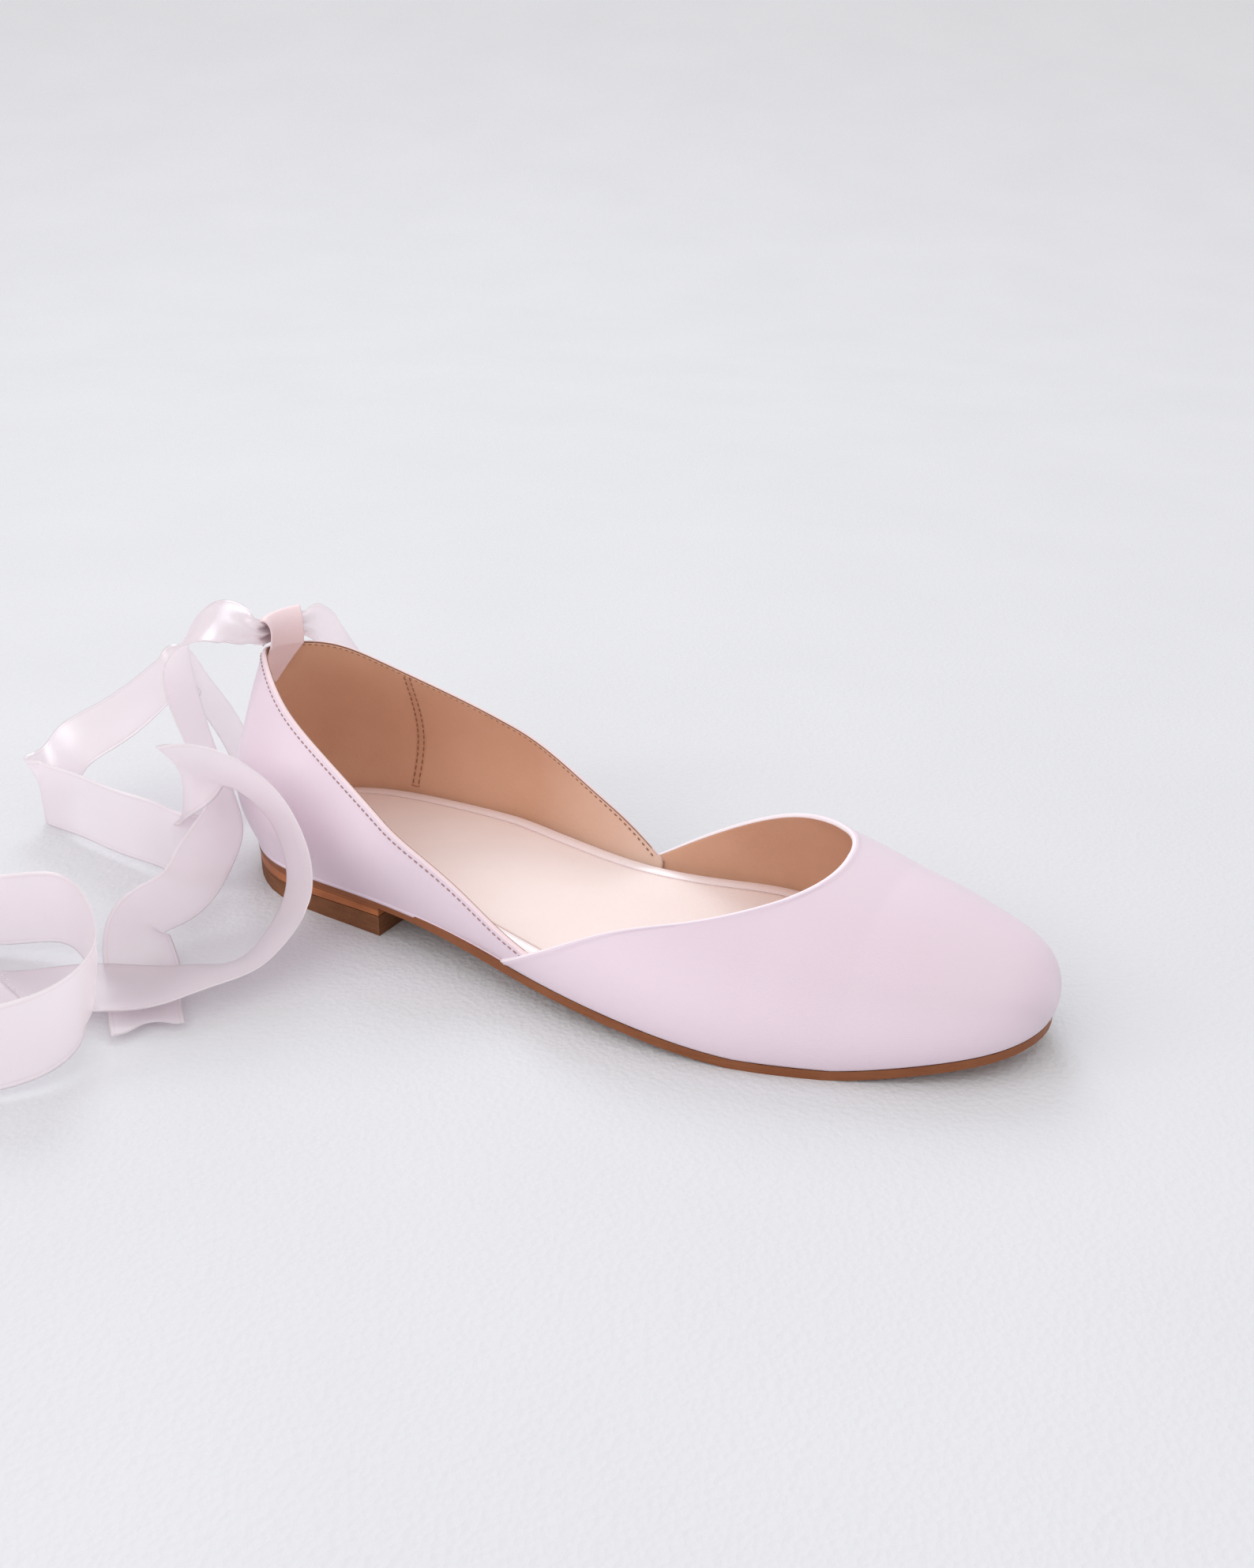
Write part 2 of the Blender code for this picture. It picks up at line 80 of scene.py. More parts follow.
# Top edge of the vamp: share, and across: 0 outer sole edge, 1 crest, 2 inner sole edge.
VAMP_EDGE = ((0.468, 0.0), (0.543, 0.3), (0.602, 0.45), (0.654, 0.64), (0.681, 0.9),
             (0.660, 1.26), (0.591, 1.61), (0.510, 1.92), (0.468, 2.0))
# How far the quarter leans out from the sole's edge: height, at the back, outer, inner.
QUARTER_LEAN = ((0.0, 0.0, 0.0, 0.0), (8.0, 3.6, 2.7, 2.7), (18.0, 5.2, 4.6, 4.8),
                (30.0, 3.2, 1.2, 1.9), (45.0, -0.6, -6.8, -6.0), (60.0, -5.6, -12.6, -12.6),
                (75.0, -10.8, -15.1, -15.6))
# Top edge of the quarter: share, height above the sole outside and inside.
QUARTER_EDGE = ((0.00, 56.4, 56.4), (0.08, 56.1, 55.9), (0.16, 51.4, 54.0), (0.24, 43.6, 47.6),
                (0.32, 33.2, 38.3), (0.40, 20.5, 26.6), (0.46, 10.2, 16.8), (0.50, 6.2, 4.0))
QUARTER_END = QUARTER_EDGE[-1][0]
BACK_REACH = 0.16  # share over which the back's lean fades into the sides'
TUCK_START, TUCK_END = 0.36, 0.46  # share over which the quarter dives under the vamp

# Heel loop over the back of that edge: height above the edge, distance out from the outer face.
LOOP_PROFILE = ((-10.0, -2.4), (-5.0, -2.4), (-1.0, -2.5), (1.6, -2.9), (4.2, -3.2),
                (6.6, -2.9), (8.1, -1.9), (8.6, -0.8), (8.1, 0.3), (6.6, 1.1),
                (4.8, 1.2), (2.7, 0.7), (0.9, -0.4))
LOOP_SPAN = (-0.080, 0.046) # turns that the loop covers, inner side negative
LOOP_TILT = 2.2  # how much taller the loop gets per turn towards its inner end

# Free halves of the ribbon: x, y, z of the middle, heading and tilt in degrees of the line
# across it, and the share of its width that is spread out.
RIBBON_WIDTH = 22.0
OUTER_RIBBON = (
    (8.1, 1, 73.2, -61, -89, 0.16), (8.4, -3.5, 73.3, -61, -89, 0.15),
    (8.7, -8, 73.6, -61, -87, 0.17), (7.8, -10.5, 74.9, -58, -65, 0.32),
    (3.5, -11.5, 77.5, -45, -10, 1), (-2, -16, 78, -46, -6, 1), (-7.5, -19, 75, -47, 1, 1),
    (-11, -21, 69.5, -57, 6, 1), (-11.5, -21.5, 61, -74, 12, 0.85),
    (-7, -24, 52, -89, 11, 0.60), (1, -28, 43.5, -98, 10, 0.44),
    (10.5, -33, 36, -102, 11, 0.45), (15.5, -35.5, 31, -109, 18, 0.44),
    (22, -43.5, 27.5, -104, 27, 0.68), (24.5, -55, 21.5, -101, 40, 1),
    (24.5, -66.5, 16, -88, 55, 1), (20.5, -77, 13, -66, 54, 1), (24.5, -81, 3.9, -130, 0, 0.92),
    (36.5, -92, 2.2, -133, 0, 0.86), (49, -103, 2, -138, 0, 0.84))
INNER_RIBBON = (
    (9, 3, 72.5, 119, 89, 0.20), (11.5, 6.5, 73, 119, 89, 0.22), (12, 12, 72, 128, 45, 0.38),
    (10, 18.5, 68.5, 126, 28, 0.75), (7.5, 25.5, 61.5, 123, 23, 1), (5, 32.5, 55, 110, 12, 1),
    (8.5, 39, 43, 116, 0, 1), (9, 41.5, 25, 116, 0, 1), (3.5, 39, 8, 119, 0, 1),
    (-12.5, 31, 3, 119, 0, 1), (-26.5, 22.5, 11, 119, 0, 1), (-32, 17.5, 27, 119, 3, 1),
    (-36.5, 11.5, 41, 125, 6, 1), (-35, 3.5, 51, 139, 18, 1), (-41.5, -6, 44, 146, 20, 1),
    (-54.5, -15.5, 32.5, 156, 16, 1), (-66, -22, 21.5, 160, 17, 1),
    (-70.5, -24.5, 13.5, 138, 72, 1), (-72.5, -29.5, 12, 0, 90, 1), (-67, -31, 12, 0, 90, 1),
    (-48, -32.5, 13, 119, 87, 1), (-28.5, -35, 13, 119, 87, 1), (-10.5, -37, 14, 119, 87, 1),
    (4.5, -40, 15, 119, 87, 1), (10, -38, 16, 0, 90, 1), (11, -33, 18, 0, 90, 1),
    (6.5, -28.5, 21.5, 0, 90, 1), (1.5, -29, 25.5, 0, 90, 1), (7, -42.5, 38.5, -49, 67, 1),
    (17, -46, 47, -42, 50, 1), (26, -44, 47, -38, 43, 1), (34.5, -41.5, 42.5, -34, 41, 1),
    (43.5, -42, 36.5, -29, 35, 1), (49, -43.5, 30, -27, 29, 1), (53, -46, 23, -28, 24, 1),
    (53, -49.5, 14, -25, 22, 1), (53.5, -57, 9.5, -26, 24, 1), (52.5, -67, 5.5, -30, 25, 1),
    (47, -82, 6.5, -46, 12, 1), (42, -89, 5.5, -55, 0, 1), (24.5, -100, 5, -55, -2, 1),
    (-2, -111.5, 4, -55, 6, 1), (-21, -114, 12, -72, 57, 1), (-29, -105.5, 12, -61, 84, 1),
    (-11.5, -91, 14, -61, 89, 1), (-1, -86.5, 15.5, -180, 90, 1), (15.5, -91.5, 17, 74, 86, 1),
    (38, -107.5, 18.5, 29, 82, 1), (46, -120, 18.5, 41, 77, 1), (43.5, -131, 14.5, 68, 73, 1),
    (37.5, -139, 13, 88, 75, 1), (20, -152.5, 12, 0, 90, 1), (9.5, -148.5, 12, 0, 90, 1),
    (4, -136.5, 12.5, 0, 90, 1), (9, -123, 13, 0, 90, 1), (22.5, -113.5, 13.5, 0, 90, 1))

# Camera: angles in degrees, all else in millimetres.
CAMERA_YAW = -29.25
CAMERA_PITCH = 24.38
CAMERA_ROLL = 0.91
CAMERA_AIM = (76.4, 97.1, 0.0)
CAMERA_DISTANCE = 552.4
CAMERA_LENS = 36.27


# ---- shape functions

def spline(knots, values):
    """Natural cubic through the rows, as a function of a number or an array."""
    last = len(knots) - 1
    step = np.diff(knots)
    slope = np.diff(values) / step
    system = np.eye(last + 1)
    bends = np.zeros(last + 1)
    for i in range(1, last):
        system[i, i - 1:i + 2] = step[i - 1], 2 * (step[i - 1] + step[i]), step[i]
        bends[i] = 6 * (slope[i] - slope[i - 1])
    bend = np.linalg.solve(system, bends)

    def at(x):
        i = np.clip(np.searchsorted(knots, x, side="right") - 1, 0, last - 1)
        b = (x - knots[i]) / step[i]
        a = 1 - b
        curve = ((a ** 3 - a) * bend[i] + (b ** 3 - b) * bend[i + 1]) * step[i] ** 2 / 6
        return a * values[i] + b * values[i + 1] + curve
    return at


def columns(table):
    """The columns of a table of rows, to unpack by name."""
    return np.array(table, float).T


def closed_outline():
    """y of the sole's edge by turn: 0..1 heel to toe outside, 1..2 toe to heel inside."""
    share, outer, inner = columns(OUTLINE)
    turns, widths = np.r_[share, 2 - share[-2::-1]], np.r_[outer, inner[-2::-1]]
    before, after = slice(-5, -1), slice(1, 5)
    return spline(np.r_[turns[before] - 2, turns, turns[after] + 2],
                  np.r_[widths[before], widths, widths[after]])


edge_y = closed_outline()
sole_rise = spline(*columns(SOLE_RISE))
section_share, *section_columns = columns(FOREFOOT)
crest_across, crest_height, outer_round, inner_round = (
    spline(section_share, column) for column in section_columns)
lean_height, *lean_columns = columns(QUARTER_LEAN)
back_lean, outer_lean, inner_lean = (spline(lean_height, column) for column in lean_columns)
edge_share, *edge_columns = columns(QUARTER_EDGE)
outer_edge_height, inner_edge_height = (spline(edge_share, column) for column in edge_columns)
vamp_edge_share, vamp_edge_across = (
    spline(np.linspace(0, 1, len(VAMP_EDGE)), column) for column in columns(VAMP_EDGE))


def along(share):
    """x at a share of the sole's length, where shares lie closer at both ends."""
    return HEEL_BACK + (LENGTH - HEEL_BACK) * (1 - np.cos(np.pi * share)) / 2


def sole_top(x):
    return np.maximum(sole_rise(x), SOLE_THICKNESS)


def edge_point(turn):
    """Point on the sole's upper edge."""
    turn = np.mod(turn, 2)
    x = along(turn)
    return np.stack([x, edge_y(turn), sole_top(x) + GAP], -1)


def edge_outward(turn):
    """Outward direction of the sole's edge in plan."""
    step = 0.001
    ahead = edge_point(turn + step) - edge_point(turn - step)
    return unit(np.stack([ahead[..., 1], -ahead[..., 0]], -1))


def ease(value, start, end):
    """0 before start, 1 after end, smooth between them."""
    share = np.clip((value - start) / (end - start), 0, 1)
    return share * share * (3 - 2 * share)


def swell(height):
    """Outward fullness, greatest at a third of the swell's height, where the cubic is 4 / 27."""
    rise = np.clip(height / SWELL_HEIGHT, 0, 1)
    return FULLNESS * 27 / 4 * rise * (1 - rise) ** 2


def side_lines(share):
    """y of the sole's outer and inner edge, and of the forefoot's crest between them."""
    outer, inner = edge_y(share), edge_y(2 - share)
    return outer, inner, outer + (inner - outer) * crest_across(share)


def vamp(share, across):
    """Outer face of the vamp, across as in VAMP_EDGE."""
    outside = across <= 1
    angle = across * np.pi / 2
    outer, inner, crest = side_lines(share)
    power = 2 / np.where(outside, outer_round(share), inner_round(share))
    rise = np.abs(np.sin(angle)) ** power
    reach = np.where(outside, outer - crest, inner - crest) * np.abs(np.cos(angle)) ** power
    height = crest_height(share) * rise
    over = ease(across, 0, 2)[..., None]
    outward = (1 - over) * edge_outward(share) + over * edge_outward(2 - share)
    x = along(share)
    points = np.stack([x, crest + reach, sole_top(x) + GAP + height], -1)
    points[..., :2] += outward * swell(height)[..., None]
    return points


def vamp_lean(share, height, outside):
    """Outward lean of the vamp's outer face at a height above the sole."""
    outer, inner, crest = side_lines(share)
    rise = np.clip(height / crest_height(share), 0, 0.999)
    power = np.where(outside, outer_round(share), inner_round(share))
    half = np.where(outside, crest - outer, inner - crest)
    return swell(height) - half * (1 - (1 - rise ** power) ** (1 / power))


def quarter_edge_height(turn):
    share = np.abs(turn)
    return np.where(turn >= 0, outer_edge_height(share), inner_edge_height(share))


def quarter(turn, height, out=0.0):
    """Outer face of the quarter: turn from the back (+ outside), height above the sole."""
    share = np.abs(turn)
    outside = turn >= 0
    back = np.exp(-(share / BACK_REACH) ** 2)
    side = np.where(outside, outer_lean(height), inner_lean(height))
    lean = back * back_lean(height) + (1 - back) * side
    tucked = ease(share, TUCK_START, TUCK_END)
    lean = (1 - tucked) * lean + tucked * (vamp_lean(share, height, outside) - TUCK)
    points = edge_point(turn)
    points[..., :2] += edge_outward(turn) * (lean + out)[..., None]
    points[..., 2] += height
    return points


def walked(points):
    """Length along a line of points, at each of them."""
    return np.r_[0, np.cumsum(np.linalg.norm(np.diff(points, axis=0), axis=1))]


def unit(vectors):
    """The vectors at length 1."""
    return vectors / np.maximum(np.linalg.norm(vectors, axis=-1, keepdims=True), 1e-9)


def grid_normals(points):
    """Normal at each vertex of a grid; it points out where rows run down and columns run on."""
    down = np.gradient(points, axis=0)
    on = np.gradient(points, axis=1)
    return unit(np.cross(down, on))


# ---- meshes

def shoe_shift():
    """Shift in metres from the drawing, whose origin is the back of the sole, to the row frame."""
    low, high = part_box("outsole")
    turns = np.linspace(0, 2, 400)
    drawn = edge_y(turns)
    y = (low[1] + high[1]) / 2 - (drawn.min() + drawn.max()) / 2 * MM
    return np.array([high[0] - LENGTH * MM, y, 0])


SHIFT = shoe_shift()


def add_to_scene(name, data):
    thing = bpy.data.objects.new(name, data)
    scene.collection.objects.link(thing)
    return thing


def grid_faces(rows, cols):
    """Faces of a grid of vertices that are numbered row by row."""
    return [(r * cols + c, (r + 1) * cols + c, (r + 1) * cols + c + 1, r * cols + c + 1)
            for r in range(rows - 1) for c in range(cols - 1)]


CLOTH_UV = "cloth"


def new_piece(name, vertices, faces, material, uv=None, sharp=40.0):
    """Mesh piece from drawing millimetres, with UV in millimetres of cloth."""
    mesh = bpy.data.meshes.new(name)
    mesh.from_pydata((np.asarray(vertices) * MM + SHIFT).tolist(), [], faces)
    if uv is not None:
        layer = mesh.uv_layers.new(name=CLOTH_UV)
        corners = np.empty(len(mesh.loops), int)
        mesh.loops.foreach_get("vertex_index", corners)
        layer.data.foreach_set("uv", uv[corners].ravel())
    mesh.shade_smooth()
    mesh.set_sharp_from_angle(angle=math.radians(sharp))
    mesh.materials.append(material)
    thing = add_to_scene(name, mesh)
    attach(thing, "root")
    return thing


def cloth_uv(points):
    """Metric UV of a grid: u along the columns, v down the rows, in millimetres."""
    rows, cols = points.shape[:2]
    on = np.linalg.norm(np.diff(points, axis=1), axis=-1).mean(0)
    u = np.r_[0, np.cumsum(on)] + np.zeros((rows, 1))
    down = np.linalg.norm(np.diff(points, axis=0), axis=-1)
    v = np.concatenate([np.zeros((1, cols)), np.cumsum(down, axis=0)])
    return np.stack([u, v], -1).reshape(-1, 2)


FOLD_STEPS = 8  # rows of a grid that are its fold


def shell(name, points, material, thickness, offset=-1.0, uv=None, crest=None):
    """Closed thin shell over a grid of points. crest is the material of its fold, the first rows.

    offset puts the thickness behind the grid (-1), on both sides (0) or before it (1)."""
    rows, cols = points.shape[:2]
    uv = cloth_uv(points) if uv is None else uv
    thing = new_piece(name, points.reshape(-1, 3), grid_faces(rows, cols), material, uv)
    if crest:
        thing.data.materials.append(crest)
        for polygon in thing.data.polygons[:(FOLD_STEPS - 1) * (cols - 1)]:
            polygon.material_index = 1
    body = thing.modifiers.new("body", "SOLIDIFY")
    body.thickness = thickness * MM
    body.offset = offset
    return thing


TUBE_TIP = 0.35  # radians of the taper's half turn that are cut off at both ends


def tubes(name, paths, radius, material, sides=5):
    """One mesh of many closed tubes with rounded ends that follow the given point lists."""
    vertices, faces = [], []
    for path in paths:
        ahead = unit(np.gradient(path, axis=0))
        guide = np.where(np.abs(ahead[:, 2:3]) > 0.9, [[1.0, 0, 0]], [[0, 0, 1.0]])
        side = unit(np.cross(ahead, guide))
        top = np.cross(side, ahead)
        start = len(vertices)
        taper = np.sin(np.linspace(TUBE_TIP, np.pi - TUBE_TIP, len(path)))[:, None, None] ** 0.4
        angle = np.linspace(0, 2 * np.pi, sides, endpoint=False)[None, :, None]
        ring = path[:, None] + radius * taper * (np.cos(angle) * side[:, None]
                                                 + np.sin(angle) * top[:, None])
        vertices.extend(ring.reshape(-1, 3))
        last = len(vertices) - sides
        for a in range(start, last, sides):
            for s in range(sides):
                t = (s + 1) % sides
                faces.append((a + s, a + t, a + sides + t, a + sides + s))
        faces.append(tuple(range(start + sides - 1, start - 1, -1)))
        faces.append(tuple(range(last, last + sides)))
    return new_piece(name, vertices, faces, material, sharp=60.0)


# ---- materials

class Nodes:
    """One material's node tree. Each input takes a socket or a plain value."""

    def __init__(self, name):
        self.material = bpy.data.materials.new(name)
        self.material.use_nodes = True
        self.tree = self.material.node_tree
        self.shader = self.tree.nodes["Principled BSDF"]

    def feed(self, target, value):
        if hasattr(value, "links"):
            self.tree.links.new(value, target)
        else:
            target.default_value = (*value, 1) if target.type == "RGBA" else value

    def fill(self, node, **inputs):
        """Feed the node's inputs by name, with _ for each space."""
        for name, value in inputs.items():
            self.feed(node.inputs[name.replace("_", " ")], value)
        return node

    def node(self, kind, **inputs):
        return self.fill(self.tree.nodes.new("ShaderNode" + kind), **inputs)

    def set(self, **inputs):
        self.fill(self.shader, **inputs)

    def math(self, operation, a, b=0.0, clamp=False):
        node = self.node("Math")
        node.operation = operation
        node.use_clamp = clamp
        self.feed(node.inputs[0], a)
        self.feed(node.inputs[1], b)
        return node.outputs[0]

    def blend(self, *parts):
        """Sum of sockets, each times its weight."""
        total = self.math("MULTIPLY", *parts[0])
        for part in parts[1:]:
            total = self.math("ADD", total, self.math("MULTIPLY", *part))
        return total

    def mix(self, factor, a, b):
        node = self.node("Mix")
        node.data_type = "RGBA"
        for index, value in ((0, factor), (6, a), (7, b)):
            self.feed(node.inputs[index], value)
        return node.outputs[2]

    def coordinates(self, scale, kind="Object"):
        """Texture coordinates times scale per axis: metres in Object, millimetres in UV."""
        source = self.node("TexCoord").outputs[kind]
        return self.node("Mapping", Scale=scale, Vector=source).outputs[0]

    def evenly(self, scale):
        return self.coordinates((scale, scale, scale))

    def axis(self, vector, index):
        return self.node("SeparateXYZ", Vector=vector).outputs[index]

    def noise(self, vector, detail, roughness, scale=1.0):
        return self.node("TexNoise", Vector=vector, Scale=scale, Detail=detail,
                         Roughness=roughness).outputs["Fac"]

    def wave(self, vector, direction, distortion=0.0, scale=1.0):
        node = self.node("TexWave", Vector=vector, Scale=scale, Distortion=distortion)
        node.bands_direction = direction
        return node.outputs["Fac"]

    def cells(self, vector, feature):
        """Distance to the middle of the nearest cell, 1 unit apart."""
        node = self.node("TexVoronoi", Vector=vector, Scale=1.0)
        node.feature = feature
        return node.outputs["Distance"]

    def ramp(self, factor, colours, low):
        """Drift between a pale and a deep colour: deep up to low, pale from 1 - low on."""
        node = self.node("ValToRGB", Fac=factor)
        pale, deep = colours
        stops = (low, deep), (1 - low, pale)
        for element, (place, colour) in zip(node.color_ramp.elements, stops):
            element.position = place
            element.color = (*colour, 1)
        return node.outputs["Color"]

    def bump(self, height, distance, strength=1.0):
        """Bump of a height that runs 0 to 1, distance millimetres deep."""
        node = self.node("Bump", Height=height, Distance=distance * MM, Strength=strength)
        self.set(Normal=node.outputs[0])

    def rough(self, factor, low, high):
        node = self.node("MapRange", Value=factor, To_Min=low, To_Max=high)
        self.set(Roughness=node.outputs[0])


# Colour of each material: the pale and the deep end of its drift.
FLOOR = (0.735, 0.744, 0.772), (0.715, 0.724, 0.752)
SATIN = (0.785, 0.655, 0.745), (0.76, 0.625, 0.715)
# The fold's colour is the satin painted paler: a painted highlight along the vamp's topline.
FOLD_PAINTED_HIGHLIGHT = (0.92, 0.85, 0.89), (0.90, 0.81, 0.865)
TRIM = (0.92, 0.74, 0.77), (0.88, 0.68, 0.71)
RIM = (0.99, 0.89, 0.91), (0.96, 0.85, 0.875)
RIBBON = (1.0, 0.975, 1.0), (0.985, 0.945, 0.985)
RIBBON_THREAD = (0.93, 0.86, 0.9), (0.84, 0.74, 0.8)
PINK_THREAD = (0.44, 0.23, 0.20), (0.32, 0.16, 0.14)
# Tan thread, also the colour of the painted shade in the gap at the lining's edge.
TAN_THREAD_AND_GAP_SHADE = (0.36, 0.17, 0.095), (0.27, 0.12, 0.065)
LINING = (0.71, 0.42, 0.285), (0.65, 0.365, 0.24)
SEAM = (0.66, 0.37, 0.24), (0.60, 0.32, 0.20)
SOCK = (0.965, 0.835, 0.81), (0.935, 0.795, 0.765)
# The dark lines at the insole's edges: cut leather, and painted shade of the gaps beside the rim.
CUT_EDGE_AND_GAP_SHADE = (0.46, 0.24, 0.15), (0.36, 0.18, 0.11)
SOLE = (0.46, 0.17, 0.07), (0.30, 0.095, 0.035)
STACK = (0.50, 0.175, 0.06), (0.30, 0.09, 0.032)
LIFT = (0.24, 0.10, 0.045), (0.155, 0.062, 0.028)

# Painted light: the quarter's lining turns to this paler colour towards the toe, where light
# reaches into the shoe.
LINING_PAINTED_LIGHT = (0.86, 0.66, 0.55)
PAINTED_LIGHT_FROM, PAINTED_LIGHT_OVER = -0.045, 0.060  # metres along the shoe
SELVEDGE = 1.3  # of the woven line from the ribbon's edge
SELVEDGE_LINE = 0.17  # half the line's width
SELVEDGE_PALE, SELVEDGE_SHARE = (1.0, 0.99, 1.0), 0.6
SELVEDGE_DEEP, LINE_SHARE = (0.86, 0.70, 0.76), 0.7
LINE_DEPTH = 0.8  # share of the weave's height
GLOW = (1.0, 0.955, 0.97)  # light that comes through the ribbon
THROUGH = 0.62  # its share of the ribbon's shading
FLOAT_SHINE = 0.3  # the ribbon's floats mirror light like metal
FLOAT_STRETCH = 0.7  # and stretch it across their own direction
PEBBLES = 900  # of the lining leather, in a metre
STACK_LAYERS = 110  # wave's scale, for a layer every 2.9 mm
LAYER_SEAM = 0.04  # height on the wave below which it is a dark line


def woven_edges(n, colour, height):
    """Paler woven edge along both sides of the ribbon, with a fine sunken line beside it."""
    across = n.axis(n.coordinates((1, 1, 1), "UV"), 0)
    off_middle = n.math("ABSOLUTE", n.math("SUBTRACT", across, RIBBON_WIDTH / 2))
    inset = n.math("SUBTRACT", RIBBON_WIDTH / 2, off_middle)
    woven = n.math("LESS_THAN", inset, SELVEDGE)
    off_line = n.math("ABSOLUTE", n.math("SUBTRACT", inset, SELVEDGE))
    line = n.math("LESS_THAN", off_line, SELVEDGE_LINE)
    colour = n.mix(n.math("MULTIPLY", woven, SELVEDGE_SHARE), colour, SELVEDGE_PALE)
    colour = n.mix(n.math("MULTIPLY", line, LINE_SHARE), colour, SELVEDGE_DEEP)
    return colour, n.math("SUBTRACT", height, n.math("MULTIPLY", line, LINE_DEPTH))


def make_sheer(n):
    """Let light through the ribbon, and stretch the shine of its long floats across it."""
    across = n.node("Tangent")
    across.direction_type, across.uv_map = "UV_MAP", CLOTH_UV
    n.set(Tangent=across.outputs[0], Metallic=FLOAT_SHINE, Anisotropic=FLOAT_STRETCH)
    both = n.node("MixShader", Fac=THROUGH)
    n.feed(both.inputs[1], n.shader.outputs[0])
    n.feed(both.inputs[2], n.node("BsdfTranslucent", Color=GLOW).outputs[0])
    n.fill(n.tree.nodes["Material Output"], Surface=both.outputs[0])


def satin_material(name, colours, low, high, gloss=0.45, coat=0.0, sheen=0.25, weave=0.035,
                   ribbon=False):
    """Satin: long floats across a fine weave, slight colour drift, soft sheen.

    low and high are its roughness, and weave is the depth of its bump in millimetres. The weave
    runs in the piece's metric UV."""
    n = Nodes(name)
    floats = n.wave(n.coordinates((1.0, 1.0, 1.0), "UV"), "X", distortion=1.5, scale=0.55)
    twill = n.wave(n.coordinates((0.9, 2.6, 1.0), "UV"), "DIAGONAL", distortion=1.0)
    slub = n.noise(n.coordinates((0.35, 3.5, 1.0), "UV"), 4.0, 0.6)
    drift = n.noise(n.evenly(28), 2.0, 0.5)
    colour = n.ramp(n.blend((drift, 0.6), (slub, 0.4)), colours, 0.3)
    height = n.blend((floats, 0.35), (twill, 0.3), (slub, 0.6))
    if ribbon:
        colour, height = woven_edges(n, colour, height)
    n.bump(height, weave)
    n.rough(slub, low, high)
    n.set(Base_Color=colour, Sheen_Weight=sheen, Sheen_Roughness=0.45,
          Specular_IOR_Level=gloss, Coat_Weight=coat, Coat_Roughness=0.22)
    if ribbon:
        make_sheer(n)
    return n.material


def leather_material(name, colours, low=0.45, high=0.6, painted_light=None):
    """Smooth leather: fine pebble and soft mottling, turning to a paler colour towards the toe
    where one is given, which is painted light.
    """
    n = Nodes(name)
    pebble = n.cells(n.evenly(PEBBLES), "SMOOTH_F1")
    fine = n.noise(n.evenly(PEBBLES), 4.0, 0.6, scale=1.6)
    cloud = n.noise(n.evenly(45), 3.0, 0.55)
    tone = n.blend((cloud, 0.75), (fine, 0.25))
    colour = n.ramp(tone, colours, 0.32)
    if painted_light:
        # painted light: paler towards the toe, by a slightly mottled share
        place = n.axis(n.coordinates((1, 1, 1)), 0)
        share = n.math("DIVIDE", n.math("SUBTRACT", place, PAINTED_LIGHT_FROM), PAINTED_LIGHT_OVER, clamp=True)
        mottled = n.math("ADD", n.math("MULTIPLY", tone, 0.3), 0.85)
        colour = n.mix(n.math("MULTIPLY", share, mottled), colour, painted_light)
    n.bump(n.blend((pebble, 1.0), (fine, 0.6)), 0.05)
    n.rough(fine, low, high)
    n.set(Base_Color=colour, Specular_IOR_Level=0.4)
    return n.material


def edge_leather_material(name, colours, layers):
    """Cut leather seen from its edge: layers and fibre streaks. With 0 layers it is all as
    dark as a seam between two."""
    n = Nodes(name)
    streak = n.noise(n.coordinates((60, 60, 1700)), 5.0, 0.65)
    blotch = n.noise(n.coordinates((90, 90, 120)), 3.0, 0.6)
    seam = n.math("LESS_THAN", n.wave(n.coordinates((0, 0, layers)), "Z"), LAYER_SEAM)
    colour = n.ramp(n.blend((streak, 0.55), (blotch, 0.45)), colours, 0.34)
    dark = tuple(c * 0.45 for c in colours[1])
    n.set(Base_Color=n.mix(n.math("MULTIPLY", seam, 0.55), colour, dark))
    n.bump(n.math("SUBTRACT", streak, n.math("MULTIPLY", seam, 0.8)), 0.12)
    n.rough(streak, 0.4, 0.6)
    n.set(Specular_IOR_Level=0.25)
    return n.material


def rubber_material(name, colours):
    """Matt rubber with fine flecks and faint streaks."""
    n = Nodes(name)
    fleck = n.noise(n.evenly(1400), 3.0, 0.6)
    streak = n.noise(n.coordinates((150, 150, 900)), 3.0, 0.6)
    n.set(Base_Color=n.ramp(n.blend((fleck, 0.4), (streak, 0.6)), colours, 0.35))
    n.bump(fleck, 0.06)
    n.rough(fleck, 0.65, 0.85)
    n.set(Specular_IOR_Level=0.2)
    return n.material


def thread_material(name, colours):
    """Twisted sewing thread."""
    n = Nodes(name)
    twist = n.wave(n.evenly(1500), "DIAGONAL", distortion=0.6)
    n.set(Base_Color=n.ramp(twist, colours, 0.2))
    n.bump(twist, 0.05)
    n.rough(twist, 0.5, 0.7)
    n.set(Sheen_Weight=0.3)
    return n.material


def floor_material():
    """Pale board with a faint leather-like grain."""
    n = Nodes("floor")
    grain = n.cells(n.evenly(620), "F1")
    fine = n.noise(n.evenly(620), 5.0, 0.6, scale=0.8)
    cloud = n.noise(n.evenly(9), 2.0, 0.5)
    n.set(Base_Color=n.ramp(cloud, FLOOR, 0.3))
    n.bump(n.math("ADD", grain, fine), 0.35, strength=0.45)
    n.rough(fine, 0.6, 0.8)
    return n.material


# ---- ribbons

